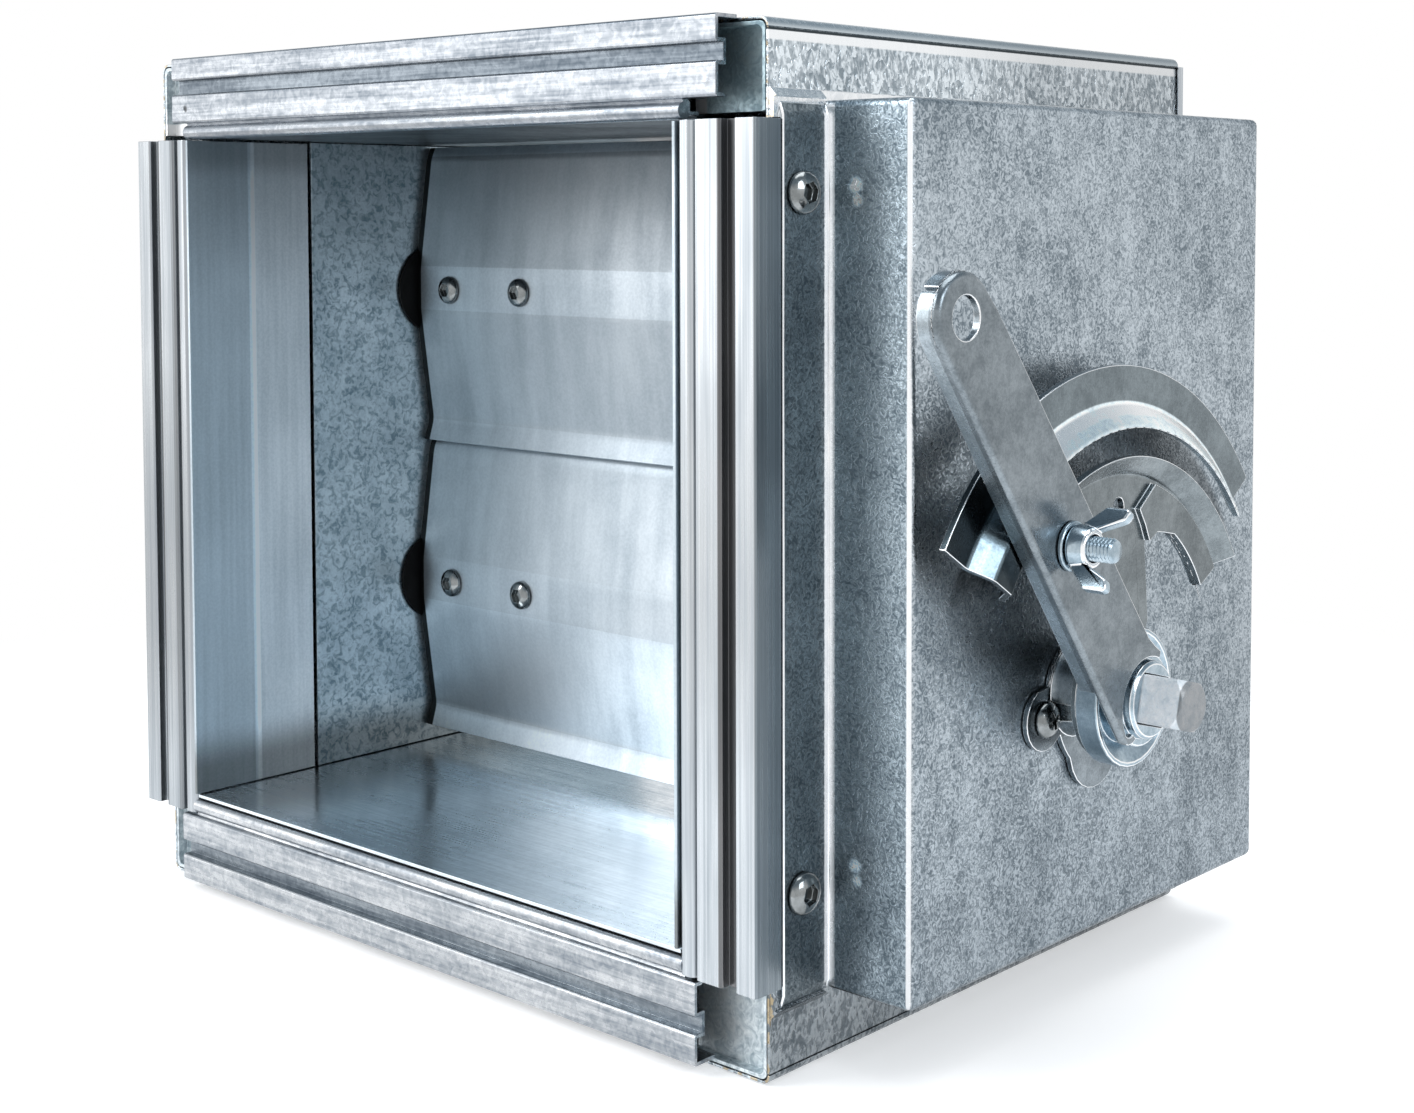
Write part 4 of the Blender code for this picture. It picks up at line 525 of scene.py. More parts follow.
RAIL_ZONES = (
    # The bottom rails are painted lighter and the top rails darker, as painted light and shade, and painted
    # shade darkens both grooves.
    Zone(1.12, z=(None, 60.0), tint="#fdfcfa"),
    Zone(0.91, z=(200.0, None), tint="#fafcfe"),
    Zone(0.62, z=(239.9, 244.1), soft=0.3, tint="#e8f0f6"),
    Zone(0.62, z=(9.9, 14.2), soft=0.3, tint="#e8f0f6"),
)
SIDE_RAIL_ZONES = (
    # Grooves and outer sides lie in shade; the lips' outer corners stay bright.
    Zone(0.29, x=(115.9, 120.3), soft=0.3, tint="#fffaf8"),
    Zone(0.36, x=(-120.3, -115.9), soft=0.3),
    Zone(0.52, x=(127.3, None), soft=0.15, tint="#eef6fa"),
    Zone(0.38, x=(None, -127.3), soft=0.15),
    Zone(0.62, x=(-109.9, -107.9), soft=0.2),
    Zone(0.55, x=(107.3, 108.1), soft=0.2),
    Zone(0.80, x=(None, -100.0)),
)
QUADRANT_ZONES = (
    # Painted light and shade: the outer slope is painted bright as a highlight, with a lighter line in it,
    # the band outside it and the inner bands are darker, and the left end is painted dark and bluish as
    # painted shade.
    Ring(0.85, 73.9, 90.0, tint="#f2f7fa"),
    Ring(3.40, 67.4, 73.2, soft=0.5),
    Ring(1.35, 70.6, 72.4, soft=0.8),
    Ring(0.84, 54.4, 62.0),
    Ring(0.80, None, 54.0),
    Zone(0.22, y=(None, -50.0), soft=8.0, tint="#dfeef6"),
)
# Painted shade darkens the lever's bore, and painted light brightens its folded flange.
LEVER_BORE = Ring(0.25, None, 4.05, soft=0.1, middle=(-82.4, 182.05))
LEVER_FOLD = Zone(1.6, x=(166.0, 173.2), z=(80.0, None), soft=0.2)
SCREW_ZONES = (
    # Painted shade darkens the drive recess of each button head.
    Ring(0.30, None, 1.9, soft=0.25, middle=(-81.3, 44.5)),
    Ring(0.30, None, 1.9, soft=0.25, middle=(-81.3, 209.5)),
)
FOOT = Zone(0.45, z=(None, 36.0), soft=14.0, tint="#f2ece6")
SLEEVE_ZONES = (
    # Painted light and shade: the front length is darker, its bend is a bright line and the top is darker
    # under the ceiling; the foot is stained.
    Zone(0.86, y=(None, -76.0), soft=1.0, tint="#eef5f9"),
    Zone(1.45, y=(-76.2, -74.4), soft=0.5),
    Zone(0.70, z=(222.0, None), soft=8.0),
    FOOT,
)
BLADE_ZONES = (
    # The blade ends are painted near black, as painted shade of the gap between each blade and the duct
    # wall.
    Zone(0.04, x=(None, -98.2), soft=0.4),
    Zone(0.04, x=(98.2, None), soft=0.4),
    # The folded middle bands and the lower slopes of both blades are painted a little lighter or darker, as
    # painted light and shade.
    Zone(1.06, z=(173.4, 187.2), soft=0.3),
    Zone(0.84, z=(187.6, 223.0), soft=0.3),
    Zone(1.30, z=(223.4, None), soft=0.3),
    Zone(0.90, z=(137.0, 173.0), soft=0.3),
    Zone(1.02, z=(132.0, 136.6), soft=0.3),
    Zone(1.08, z=(78.0, 91.8), soft=0.3),
    Zone(1.22, z=(42.0, 77.6), soft=0.3),
    Zone(1.45, z=(None, 41.6), soft=0.3),
)


class Finish(Enum):
    """Every finish on the damper.

    Drawing lines, rolling lines and grain are a tenth of a millimetre or less on real sheet, too fine to
    show, so the finest layers are drawn at 0.6 to 1.1 mm.
    """

    SKIN = SheetFinish(
        # Hot-dip galvanised sheet: bright, with a rippled skin of worm-like ridges a few millimetres long.
        "galvanised_skin", "#e8f1f7", "#88949c",
        (
            even(24.0, 0.25),
            Pattern((1.5, 1.5, 2.4), 0.80, relief=0.11, curl=0.8, contrast=7.0),
            even(0.9, 0.20, relief=0.015),
        ),
        (0.14, 0.34), zones=SKIN_ZONES, edge=RawEdge(-89.4),
    )
    COVER = SheetFinish(
        # Galvanised cover sheet: fine fibrous crystals about a millimetre long, on slow grey clouds.
        "galvanised_cover", "#c2cad0", "#6f7a82",
        (
            even(38.0, 0.30, detail=3.0),
            Pattern((8.0, 8.0, 14.0), 0.30, detail=3.0),
            even(1.7, 0.80, relief=0.034, curl=2.2, contrast=6.5),
            even(0.8, 0.30, relief=0.008),
        ),
        (0.26, 0.42), zones=COVER_ZONES, spots=STEP_SPOTS,
    )
    RAIL = SheetFinish(
        # Rolled galvanised flange: bright, with cloudy lengthwise patches and fine rolling lines.
        "flange_galvanised", "#f3f6fa", "#939da8",
        (
            Pattern((30.0, 2.6, 2.6), 0.50, contrast=6.0, detail=3.0),
            even(2.2, 0.34, relief=0.008, curl=0.8),
            Pattern((50.0, 0.7, 0.7), 0.25, relief=0.008),
        ),
        (0.22, 0.38), gain=0.68, zones=RAIL_ZONES, spots=RAIL_SPOTS,
    )
    ALUMINIUM = SheetFinish(
        # Drawn aluminium: fine lines along the rail.
        "drawn_aluminium", "#e6ebef", "#b3bbc2",
        (Pattern((0.8, 0.8, 150.0), 0.60, relief=0.010), even(45.0, 0.25), Pattern((3.0, 3.0, 70.0), 0.40)),
        (0.22, 0.36), gain=0.84, zones=SIDE_RAIL_ZONES,
    )
    SLEEVE = SheetFinish(
        # Duct sleeve: smooth blue-grey sheet with a soft upright grain, stained at its foot.
        "duct_sleeve", "#f6fbff", "#ccd6dc",
        (Pattern((2.2, 2.2, 60.0), 0.30, relief=0.006), even(0.8, 0.25, relief=0.005), even(50.0, 0.35)),
        (0.30, 0.44), zones=SLEEVE_ZONES,
    )
    WALL = SheetFinish(
        # Duct wall: teal grey with leafy dark crystals two millimetres across.
        "spangled_wall", "#d0dfe7", "#7b93a0",
        (
            even(2.4, 0.55, relief=0.008, curl=1.1, contrast=9.0, shift=-0.04),
            even(11.0, 0.25),
            even(0.9, 0.20),
        ),
        (0.32, 0.48), zones=(FOOT,),
    )
    CEILING = SheetFinish(
        # Duct ceiling: the same sheet as the walls, in shade.
        "shaded_ceiling", "#525a60", "#2e3336", (even(2.4, 0.30, curl=1.0), even(30.0, 0.40)), (0.30, 0.5),
    )
    FLOOR = SheetFinish(
        # Duct floor: bright rolled sheet with fine lines across the air path.
        "rolled_floor", "#f8fcff", "#c0ccd5",
        (
            Pattern((80.0, 1.1, 4.0), 0.35, relief=0.008),
            even(2.2, 0.20, relief=0.005, curl=0.8),
            even(48.0, 0.50, detail=3.0),
        ),
        (0.16, 0.32),
    )
    BLADE = SheetFinish(
        # Blade sheet: satin zinc with soft upright streaks.
        "satin_blade", "#e8f1f8", "#b8c5cf",
        (
            Pattern((10.0, 10.0, 90.0), 0.40, detail=3.0),
            even(0.9, 0.22, relief=0.004),
            even(34.0, 0.35, detail=3.0),
        ),
        (0.38, 0.50), gain=0.80, zones=BLADE_ZONES,
    )
    PRESSED = SheetFinish(
        # Bright pressed steel: neutral grey, lightly mottled, with a fine drawn grain.
        "drawn_steel", "#9ba4aa", "#616a70",
        (even(13.0, 0.40, detail=3.0), even(2.4, 0.22, relief=0.006), even(0.6, 0.20, relief=0.004)),
        (0.20, 0.34), zones=(LEVER_BORE, LEVER_FOLD),
    )
    QUADRANT = SheetFinish(
        # Pressed steel: the same sheet, with slopes painted bright as a highlight and its bands painted
        # lighter or darker as light and shade.
        "steel_painted_light", "#a3acb0", "#6c7478",
        (even(13.0, 0.40, detail=3.0), even(2.4, 0.22, relief=0.006), even(0.6, 0.20, relief=0.004)),
        (0.20, 0.32), zones=QUADRANT_ZONES,
    )
    STAINLESS = SheetFinish(
        # Stainless button head: neutral grey with a smooth turned face.
        "stainless_head", "#a5a9aa", "#6d7273", (even(5.0, 0.40), even(0.8, 0.20, relief=0.004)),
        (0.12, 0.22), zones=SCREW_ZONES,
    )
    STUB = SheetFinish(
        # Square shaft end in passivated zinc: chalky, almost white flats, and painted shade darkens its end
        # face.
        "shaft_zinc", "#ffffff", "#c2ced6", (even(3.0, 0.50), even(0.8, 0.30, relief=0.006)),
        (0.22, 0.36), zones=(Zone(0.34, x=(187.2, None), soft=0.3),), metallic=0.1,
    )
    BRIGHT_EDGE = SheetFinish(
        # The rounded edge of a pressed piece: a painted highlight, near white, so that it draws a thin
        # light line.
        "painted_edge_highlight", "#ffffff", "#dde3e8", (even(9.0, 0.60),), (0.16, 0.22),
    )
    ZINC = SheetFinish(
        # Clear zinc plate: cold blue-white with a smooth shine.
        "zinc_plate", "#c8d6df", "#8297a4",
        (even(6.0, 0.45), even(1.0, 0.25, relief=0.006)),
        (0.14, 0.26),
    )
    CORNER = SheetFinish(
        # Corner plate: marbled grey-teal zinc with fine veins and a rusty raw edge.
        "corner_sheet", "#f4fafc", "#a8b7bf",
        (even(3.4, 0.60, relief=0.02, curl=1.6, contrast=6.0), even(1.2, 0.25), even(12.0, 0.30)),
        (0.50, 0.62), zones=(
            # The upper right plates are a little darker, and a plain white band across the left plates near
            # their top is a painted highlight line.
            Zone(0.92, x=(100.0, None), z=(120.0, None), tint="#e4f4f8"),
            Zone(1.0, x=(None, 102.4), z=(226.0, 231.6), soft=0.6, plain=True),
        ),
    )
    NYLON = SheetFinish(
        # Moulded black nylon: no metal in it, and a dull shine.
        "black_nylon", "#090a0b", "#030304", (even(8.0, 0.40), even(0.8, 0.20, relief=0.004)),
        (0.50, 0.65), metallic=0.0, specular=0.15,
    )

    def make(self) -> bpy.types.Material:
        """The finish's material."""
        return self.value.make()


# Mesh tools


def new_object(name: str, mesh: bpy.types.Mesh, finish: Finish) -> bpy.types.Object:
    """Links a mesh as an object at the origin, with one finish.

    Args:
        name: The object's name.
        mesh: Its mesh, with its place in it.
        finish: Its finish, which takes the place of the mesh's own.

    Returns:
        The object.
    """
    made = bpy.data.objects.new(name, mesh)
    bpy.context.scene.collection.objects.link(made)
    mesh.materials.clear()
    mesh.materials.append(finish.make())
    return made


def grid_mesh(name: str, points: np.ndarray, close_v: bool, caps: bool = False) -> bpy.types.Mesh:
    """Makes a mesh of quads from a grid of points.

    Args:
        name: The mesh's name.
        points: Rows by columns by three.
        close_v: True joins the last column to the first.
        caps: True fills the first and the last row with one face each.

    Returns:
        The mesh.
    """
    rows, columns = points.shape[:2]
    index = np.arange(rows * columns).reshape(rows, columns)
    if close_v:
        index = np.hstack([index, index[:, :1]])
    quads = np.stack([index[:-1, :-1], index[:-1, 1:], index[1:, 1:], index[1:, :-1]], axis=-1)
    faces = quads.reshape(-1, 4).tolist()
    if caps:
        faces.append(index[0, :columns][::-1].tolist())
        faces.append(index[-1, :columns].tolist())
    mesh = bpy.data.meshes.new(name)
    mesh.from_pydata(points.reshape(-1, 3).tolist(), [], faces)
    work = bmesh.new()
    work.from_mesh(mesh)
    bmesh.ops.remove_doubles(work, verts=work.verts, dist=SAME_PLACE)
    bmesh.ops.recalc_face_normals(work, faces=work.faces)
    work.to_mesh(mesh)
    work.free()
    return mesh


@dataclass
class Dresser:
    """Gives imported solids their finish, body and softened edges.

    Triangles whose points are closer than merge_m are joined, flat faces are those within flat_deg, and
    an edge sharper than sharp_deg is rounded.
    """

    frame: Frame
    merge_m: float = 2e-6
    flat_deg: float = 0.4
    sharp_deg: float = 32.0
    face_weight: int = 90

    def ride(self, made: bpy.types.Object, node: str) -> bpy.types.Object:
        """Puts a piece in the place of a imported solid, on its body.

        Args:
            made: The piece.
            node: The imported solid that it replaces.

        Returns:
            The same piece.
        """
        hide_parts(node)
        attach(made, self.frame.body_of[node])
        LOG.info("%s stands for %s", made.name, node)
        return made

    def soften(
        self,
        node: str,
        finish: Finish,
        width_mm: float = 0.25,
        segments: int = 2,
        edge: Finish | None = None,
    ) -> bpy.types.Object:
        """Copies a solid, joins its loose triangles into flat faces and rounds its sharp edges.

        Args:
            node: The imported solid.
            finish: Its finish.
            width_mm: How wide the rounding is.
            segments: How many faces make the rounding.
            edge: The finish of the rounding, where it isn't the piece's own.

        Returns:
            The new piece, which replaces the solid.
        """
        mesh = self.frame.node(node).data.copy()
        mesh.name = node + "_soft"
        work = bmesh.new()
        work.from_mesh(mesh)
        bmesh.ops.remove_doubles(work, verts=work.verts, dist=self.merge_m)
        flat = math.radians(self.flat_deg)
        bmesh.ops.dissolve_limit(work, angle_limit=flat, verts=work.verts, edges=work.edges)
        work.to_mesh(mesh)
        work.free()
        made = new_object(node + "_soft", mesh, finish)
        mesh.shade_smooth()
        bevel = made.modifiers.new("edge", "BEVEL")
        bevel.width = width_mm * MM
        bevel.segments = segments
        bevel.limit_method = "ANGLE"
        bevel.angle_limit = math.radians(self.sharp_deg)
        bevel.use_clamp_overlap = False
        if edge:
            mesh.materials.append(edge.make())
            bevel.material = 1
        shading = made.modifiers.new("flat_faces", "WEIGHTED_NORMAL")
        shading.weight = self.face_weight
        return self.ride(made, node)


# Sub-assemblies


@dataclass
class Casing:
    """The insulated box: its outer sheets, inner duct, flange rails and corner plates.

    Each reach says how far a copy's edge moves past the place before it, to close a gap that the real
    sheets don't show.
    """

    dresser: Dresser
    sheet_edge_mm: float = 0.15
    floor_mm: float = -89.0
    floor_reach_mm: float = 6.2
    side_top_mm: float = 240.0
    side_reach_mm: float = 0.25
    bead_mm: float = 105.5
    bead_reach_mm: float = 1.15
    plate_mm: float = 104.2
    plate_reach_mm: float = 4.4
    rear_mm: float = 100.2
    rear_reach_mm: float = 1.5
    rear_ends_mm: tuple[float, float] = (4.0, 246.0)
    end_reach_mm: float = 1.0
    tab_profile_mm: tuple[tuple[float, float], ...] = (
        (125.02, 236.0), (125.4, 233.6), (127.3, 231.7), (126.4, 231.5), (126.4, 226.8), (125.02, 226.8),
    )
    tab_run_mm: tuple[float, ...] = (-89.8, -86.0, -72.0)
    casing_mm: float = 249.7

    def build(self) -> None:
        """Dresses every fixed sheet."""
        plan = {
            Finish.SKIN: (
                "bottom_casing_panel", "top_casing_panel", "left_casing_panel", "right_casing_panel",
            ),
            Finish.WALL: ("left_duct_wall", "right_duct_wall"),
            Finish.SLEEVE: ("left_front_sleeve", "right_front_sleeve"),
            Finish.FLOOR: ("duct_floor",),
            Finish.CEILING: ("duct_ceiling",),
            Finish.RAIL: ("front_top_rail", "front_bottom_rail", "rear_top_rail", "rear_bottom_rail"),
            Finish.ALUMINIUM: ("front_left_rail", "front_right_rail", "rear_left_rail", "rear_right_rail"),
            Finish.CORNER: (
                "front_top_left_corner", "front_top_right_corner",
                "front_bottom_left_corner", "front_bottom_right_corner",
            ),
        }
        made = {}
        for finish, nodes in plan.items():
            for node in nodes:
                made[node] = self.dresser.soften(node, finish, self.sheet_edge_mm)
        stretch(made["duct_floor"], 1, (None, self.floor_mm), -self.floor_reach_mm)
        for side, sign in (("left", -1), ("right", 1)):
            stretch(made[side + "_casing_panel"], 2, (self.side_top_mm, None), self.side_reach_mm)
            inner = (-self.bead_mm, None) if sign < 0 else (None, self.bead_mm)
            stretch(made["front_" + side + "_rail"], 0, inner, -sign * self.bead_reach_mm)
            inner = (-self.plate_mm, None) if sign < 0 else (None, self.plate_mm)
            for level in ("top", "bottom"):
                corner = made["front_" + level + "_" + side + "_corner"]
                stretch(corner, 0, inner, -sign * self.plate_reach_mm)
            foot, head = self.rear_ends_mm
            stretch(made["rear_" + side + "_rail"], 2, (head, None), self.end_reach_mm)
            stretch(made["rear_" + side + "_rail"], 2, (None, foot), -self.end_reach_mm)
        for level in ("top", "bottom"):
            stretch(made["rear_" + level + "_rail"], 0, (self.rear_mm, None), self.rear_reach_mm)
            stretch(made["rear_" + level + "_rail"], 0, (None, -self.rear_mm), -self.rear_reach_mm)
        self.build_tabs()

    def build_tabs(self) -> None:
        """Adds the turned-out end of the side skin at both ends of the cover's strip.

        A profile in X and Z, from the skin's face over a short slope to the strip, is carried along Y. The
        lower tab has the same profile, with each height taken from the casing's.
        """
        slope = np.array(self.tab_profile_mm)
        run = np.array(self.tab_run_mm)
        ends = (("upper_skin_tab", slope[:, 1]), ("lower_skin_tab", self.casing_mm - slope[:, 1]))
        for name, heights in ends:
            across = np.broadcast_to(slope[:, 0], (len(run), len(slope)))
            deep = np.broadcast_to(run[:, None], across.shape)
            points = np.stack([across, deep, np.broadcast_to(heights, across.shape)], axis=-1) * MM
            tab = new_object(name, grid_mesh(name, points, True, caps=True), Finish.SKIN)
            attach(tab, self.dresser.frame.body_of["right_casing_panel"])
            LOG.info("%s added", name)


def stretch(
    made: bpy.types.Object, axis: int, span_mm: tuple[float | None, float | None], by_mm: float
) -> None:
    """Moves an edge of a piece along an axis, and leaves the rest of it where it is.

    Args:
        made: The piece.
        axis: 0 for X, 1 for Y, 2 for Z.
        span_mm: The points that move are those between these two places on the axis. None leaves an
            end open.
        by_mm: How far they move.
    """
    low = -math.inf if span_mm[0] is None else span_mm[0] * MM
    high = math.inf if span_mm[1] is None else span_mm[1] * MM
    points = np.empty(len(made.data.vertices) * 3)
    made.data.vertices.foreach_get("co", points)
    along = points[axis::3]
    along += np.where((along >= low) & (along <= high), by_mm * MM, 0.0)
    made.data.vertices.foreach_set("co", points)
    made.data.update()


@dataclass
class BladePack:
    """The two blades with their shafts, bushes and screws."""

    dresser: Dresser
    end_mm: float = 98.0
    reach_mm: float = 1.1

    def build(self) -> None:
        """Dresses both blades and what turns with them."""
        for level in ("lower", "upper"):
            blade = self.dresser.soften(level + "_blade", Finish.BLADE, 0.15)
            # Each blade's ends reach towards the walls, where its finish paints them near black as painted
            # shade of the gap.
            stretch(blade, 0, (self.end_mm, None), self.reach_mm)
            stretch(blade, 0, (None, -self.end_mm), -self.reach_mm)
            self.dresser.soften(level + "_shaft", Finish.ZINC, 0.1)
            for side in ("left", "right"):
                self.dresser.soften(level + "_" + side + "_bush", Finish.NYLON, 0.2)
            for letter in "abcd":
                self.dresser.soften(level + "_blade_screw_" + letter, Finish.STAINLESS, 0.12)


@dataclass
class Linkage:
    """The cranks and link bar inside the cover, and the cover itself."""

    dresser: Dresser
    cover_edge_mm: float = 0.45

    def build(self) -> None:
        """Dresses the linkage and its cover."""
        for node in ("lower_crank", "upper_crank", "link_bar"):
            self.dresser.soften(node, Finish.PRESSED, 0.2)
        # The cover's rounded edges take the painted edge highlight.
        self.dresser.soften("linkage_cover", Finish.COVER, self.cover_edge_mm, 3, Finish.BRIGHT_EDGE)
        for node in ("lower_strip_screw", "upper_strip_screw"):
            self.dresser.soften(node, Finish.STAINLESS, 0.15)


@dataclass
class Quadrant:
    """The bracket, quadrant, lever and clamp."""

    dresser: Dresser
    bolt_radius_mm: float = 3.0
    head_radius_mm: float = 5.5
    head_mm: float = 2.4
    edge_mm: float = 0.6
    thread_mm: float = 11.0
    pitch_mm: float = 1.0
    depth_mm: float = 0.45
    pole_mm: float = 0.05
    rows: int = 160
    sides: int = 48
    crease_deg: float = 50.0

    def build(self) -> None:
        """Dresses the hand control."""
        # The rounded edges of the pressed pieces take the painted edge highlight.
        edge = Finish.BRIGHT_EDGE
        self.dresser.soften("pivot_bracket", Finish.PRESSED, 0.2, 2, edge)
        for node in ("ear_screw_a", "ear_screw_b"):
            self.dresser.soften(node, Finish.STAINLESS, 0.12)
        self.dresser.soften("quadrant_plate", Finish.QUADRANT, 0.2, 2, edge)
        self.dresser.soften("shaft_collar", Finish.ZINC, 0.2, 2, edge)
        self.dresser.soften("drive_stub", Finish.STUB, 0.15)
        self.dresser.soften("lever", Finish.PRESSED, 0.3, 3, edge)
        self.build_bolt()
        self.dresser.soften("clamp_washer", Finish.ZINC, 0.1)
        self.dresser.soften("wing_nut", Finish.ZINC, 0.35, 3, edge)

    def build_bolt(self) -> None:
        """Makes the clamp bolt with its head, plain shank and cut thread.

        Each row of the grid is a ring round the bolt's axis. Its radius is the head's, the shank's or, on
        the thread, the shank's less a groove: depth times the triangle wave of (distance over pitch less
        angle over a full turn). At the end's chamfer the radius falls as fast as the distance grows.
        """
        low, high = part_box("clamp_bolt")
        start, end = low[0] / MM, high[0] / MM
        across, up = (low[1] + high[1]) / 2, (low[2] + high[2]) / 2
        wide, slim, edge = self.head_radius_mm, self.bolt_radius_mm, self.edge_mm
        head_run = start + np.array([0.0, 0.0, edge, self.head_mm, self.head_mm])
        thread = np.linspace(end - self.thread_mm, end, self.rows)
        run = np.concatenate([head_run, thread, [end]])
        head = [self.pole_mm, wide - edge, wide, wide, slim]
        ring = np.concatenate([head, np.full(self.rows, slim), [self.pole_mm]])
        turn = np.linspace(0.0, 2 * math.pi, self.sides, endpoint=False)
        wave = (run[:, None] / self.pitch_mm - turn[None, :] / (2 * math.pi)) % 1.0
        groove = np.abs(2 * wave - 1.0)
        on_thread = np.clip((run - (end - self.thread_mm)) / self.pitch_mm, 0.0, 1.0)
        on_thread[-1] = 0.0
        radius = ring[:, None] - self.depth_mm * groove * on_thread[:, None]
        radius = np.minimum(radius, slim - edge + (end - run)[:, None])
        radius[-1] = self.pole_mm
        points = np.stack(
            [
                np.broadcast_to(run[:, None] * MM, radius.shape),
                across + radius * MM * np.cos(turn)[None, :],
                up + radius * MM * np.sin(turn)[None, :],
            ],
            axis=-1,
        )
        mesh = grid_mesh("clamp_bolt_cut", points, True, caps=True)
        mesh.shade_smooth()
        mesh.set_sharp_from_angle(angle=math.radians(self.crease_deg))
        self.dresser.ride(new_object("clamp_bolt_cut", mesh, Finish.ZINC), "clamp_bolt")


# Studio


@dataclass(frozen=True)
class Lamp:
    """A large square lamp: its name, place and side in metres, its power in watts and its colour."""

    name: str
    place: tuple[float, float, float]
    size: float
    power: float
    colour: str = "#ffffff"

    def build(self, target: Vector) -> None:
        """Puts the lamp in the scene.

        Args:
            target: The place that it points at.
        """
        data = bpy.data.lights.new(self.name, "AREA")
        data.shape = "SQUARE"
        data.size = self.size
        data.energy = self.power
        data.color = linear(self.colour)[:3]
        lamp = bpy.data.objects.new(self.name, data)
        lamp.location = self.place
        away = Vector(self.place) - target
        lamp.rotation_euler = away.to_track_quat("Z", "Y").to_euler()
        bpy.context.scene.collection.objects.link(lamp)


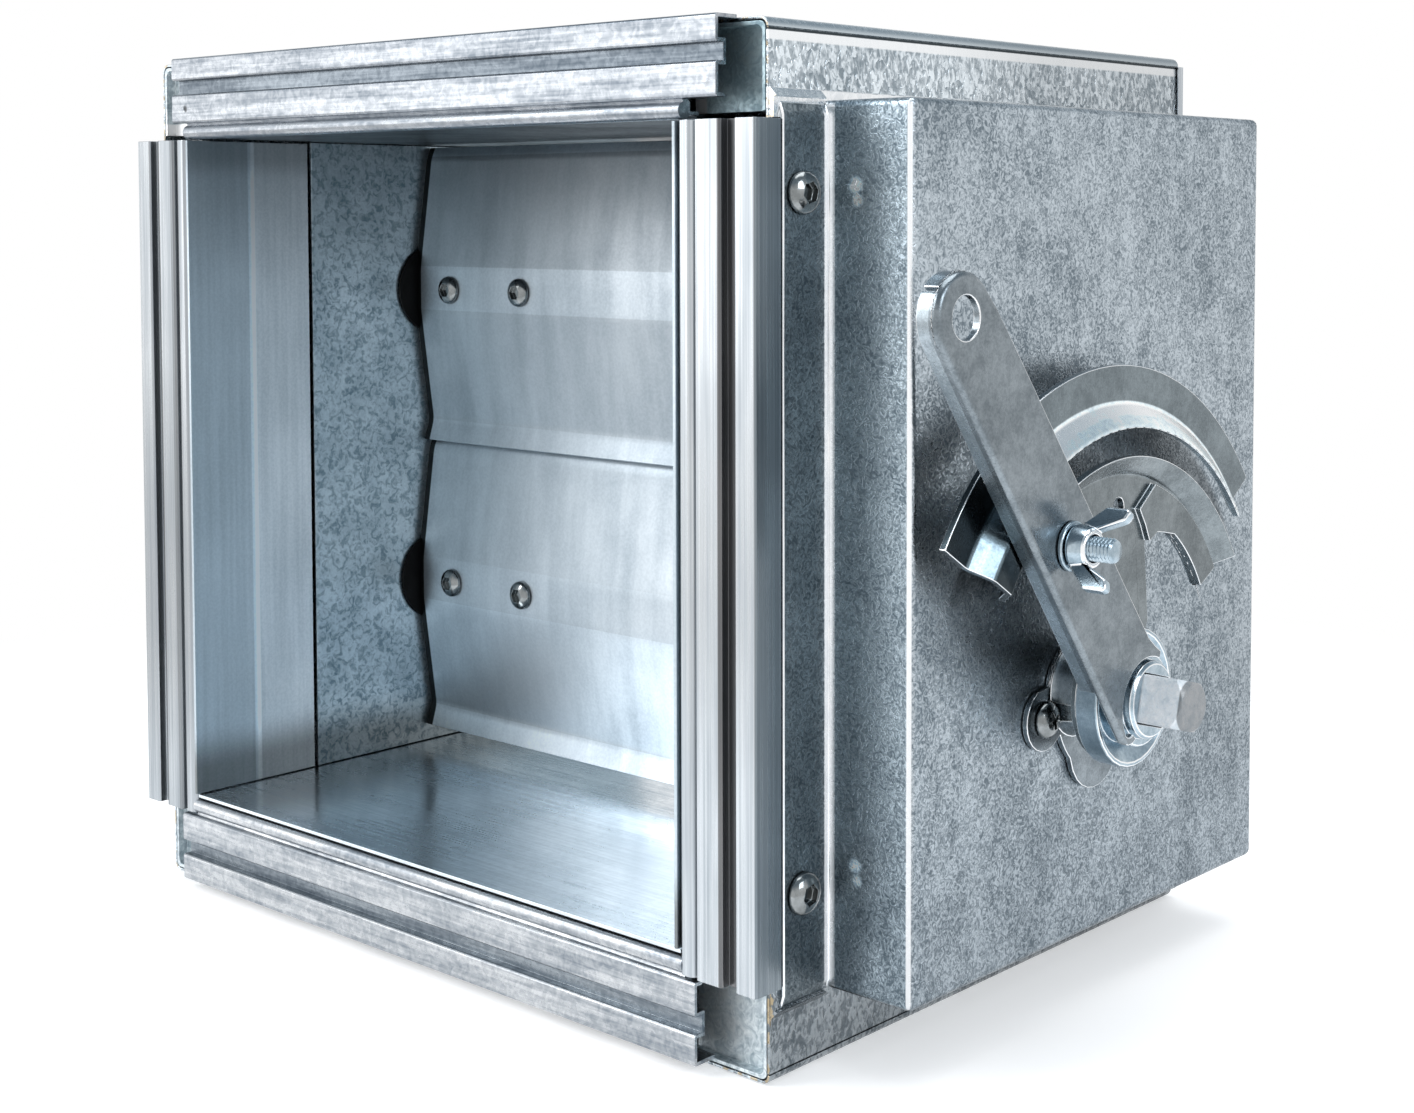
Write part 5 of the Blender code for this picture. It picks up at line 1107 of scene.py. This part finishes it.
@dataclass
class Studio:
    """Floor, light and camera.

    The floor is paper with a glow of its own near the object, which fades to plain white between the two
    distances in fade. The backdrop fades from white to overhead between the two heights in tall.
    """

    focal_mm: float = 53.07
    sensor_mm: float = 36.0
    shift: tuple[float, float] = (-0.0760, -0.1666)
    eye: tuple[float, float, float] = (0.4460, -0.4463, 0.2049)
    yaw: float = 40.757
    pitch: float = -2.978
    floor_half: float = 6.0
    floor_drop: float = 0.0004
    paper: float = 0.80
    paper_rough: float = 0.9
    glow: float = 0.42
    fade: tuple[float, float] = (0.26, 0.50)
    tall: tuple[float, float] = (0.20, 0.75)
    overhead: str = "#98a6b0"
    room: str = "#e8eef4"
    room_strength: float = 0.75
    target: tuple[float, float, float] = (0.0, 0.0, 0.12)
    lamps: tuple[Lamp, ...] = (
        # From above left, from the right, from overhead and low from the front left.
        Lamp("key", (-0.9, -1.3, 1.3), 0.9, 16.0),
        Lamp("side", (1.7, -0.2, 1.0), 0.8, 10.0, "#f4f9ff"),
        Lamp("top", (0.1, 0.2, 1.7), 1.2, 12.0),
        Lamp("fill", (-1.4, -1.5, 0.45), 1.2, 6.0),
    )

    def build(self) -> None:
        """Sets up everything that isn't the object."""
        self.build_camera()
        self.build_floor()
        self.build_world()
        for lamp in self.lamps:
            lamp.build(Vector(self.target))
        bpy.context.scene.view_settings.view_transform = "Standard"

    def build_camera(self) -> None:
        """Stands the camera where the photograph was taken from."""
        data = bpy.data.cameras.new("camera")
        data.lens = self.focal_mm
        data.sensor_width = self.sensor_mm
        data.shift_x, data.shift_y = self.shift
        data.clip_start = 0.01
        camera = bpy.data.objects.new("camera", data)
        camera.location = self.eye
        camera.rotation_euler = (math.radians(90.0 + self.pitch), 0.0, math.radians(self.yaw))
        bpy.context.scene.collection.objects.link(camera)
        bpy.context.scene.camera = camera

    def seen(self, tree: Tree) -> Socket:
        """The share of a ray that shows the background, which is 1 for camera, mirror and glass rays.

        Args:
            tree: The node tree.

        Returns:
            The socket of the share.
        """
        path = add_node(tree, "LightPath").outputs
        direct = {0: path["Is Camera Ray"], 1: path["Is Glossy Ray"]}
        shown = add_node(tree, "Math", GREATER, direct).outputs[0]
        return add_node(tree, "Math", GREATER, {0: shown, 1: path["Is Transmission Ray"]}).outputs[0]

    def build_floor(self) -> None:
        """Lays wide pale paper that keeps the object's shadow and fades to plain white further out."""
        across = np.array([-self.floor_half, self.floor_half])
        deep, wide = np.meshgrid(across, across, indexing="ij")
        points = np.stack([wide, deep, np.full_like(wide, -self.floor_drop)], axis=-1)
        mesh = grid_mesh("floor", points, False)
        made = bpy.data.objects.new("floor", mesh)
        bpy.context.scene.collection.objects.link(made)
        paper = bpy.data.materials.new("white_paper")
        paper.use_nodes = True
        tree = paper.node_tree
        shader = tree.nodes["Principled BSDF"]
        shader.inputs["Base Color"].default_value = (*(self.paper,) * 3, 1.0)
        shader.inputs["Roughness"].default_value = self.paper_rough
        shader.inputs["Specular IOR Level"].default_value = 0.0
        white = linear("#ffffff")
        near = add_node(tree, "Emission", inputs={"Color": white, "Strength": self.glow})
        both = add_node(tree, "AddShader", inputs={0: shader.outputs[0], 1: near.outputs[0]})
        far = add_node(tree, "Emission", inputs={"Color": white, "Strength": 1.0})
        place = add_node(tree, "TexCoord").outputs["Object"]
        away = add_node(tree, "VectorMath", {"operation": "LENGTH"}, {0: place}).outputs["Value"]
        fade = within(tree, (away, self.fade[1], None, self.fade[1] - self.fade[0]))
        shown = add_node(tree, "MixShader", inputs={0: fade, 1: both.outputs[0], 2: far.outputs[0]})
        ends = {0: self.seen(tree), 1: shader.outputs[0], 2: shown.outputs[0]}
        pick = add_node(tree, "MixShader", inputs=ends)
        tree.links.new(pick.outputs[0], tree.nodes["Material Output"].inputs["Surface"])
        mesh.materials.append(paper)
        made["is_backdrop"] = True

    def build_world(self) -> None:
        """Makes the backdrop, white at the camera's height and softer overhead, and a pale room's light."""
        world = bpy.data.worlds.new("studio")
        bpy.context.scene.world = world
        world.use_nodes = True
        tree = world.node_tree
        tree.nodes.clear()
        place = add_node(tree, "TexCoord").outputs["Generated"]
        height = add_node(tree, "SeparateXYZ", inputs={0: place}).outputs["Z"]
        rise = within(tree, (height, self.tall[1], None, self.tall[1] - self.tall[0]))
        ends = {0: rise, 6: linear("#ffffff"), 7: linear(self.overhead)}
        backdrop = add_node(tree, "Mix", COLOURS, ends).outputs[2]
        light = {"Color": linear(self.room), "Strength": self.room_strength}
        room = add_node(tree, "Background", inputs=light)
        white = add_node(tree, "Background", inputs={"Color": backdrop, "Strength": 1.0})
        ends = {0: self.seen(tree), 1: room.outputs[0], 2: white.outputs[0]}
        pick = add_node(tree, "MixShader", inputs=ends)
        add_node(tree, "OutputWorld", inputs={"Surface": pick.outputs[0]})


def plain(bounds: tuple[Vector, Vector]) -> list[list[float]]:
    """The two corners of a box as plain lists of numbers."""
    return [[float(value) for value in corner] for corner in bounds]


def main() -> None:
    """Builds the damper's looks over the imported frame."""
    logging.basicConfig(level=logging.INFO, format="%(name)s: %(message)s")
    frame = Frame(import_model())
    packed = plain(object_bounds())
    dresser = Dresser(frame)
    for assembly in (Casing(dresser), BladePack(dresser), Linkage(dresser), Quadrant(dresser)):
        LOG.info("building %s", type(assembly).__name__)
        assembly.build()
    Studio().build()
    {"packed": packed, "dressed": plain(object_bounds())}


if __name__ == "__main__":
    main()
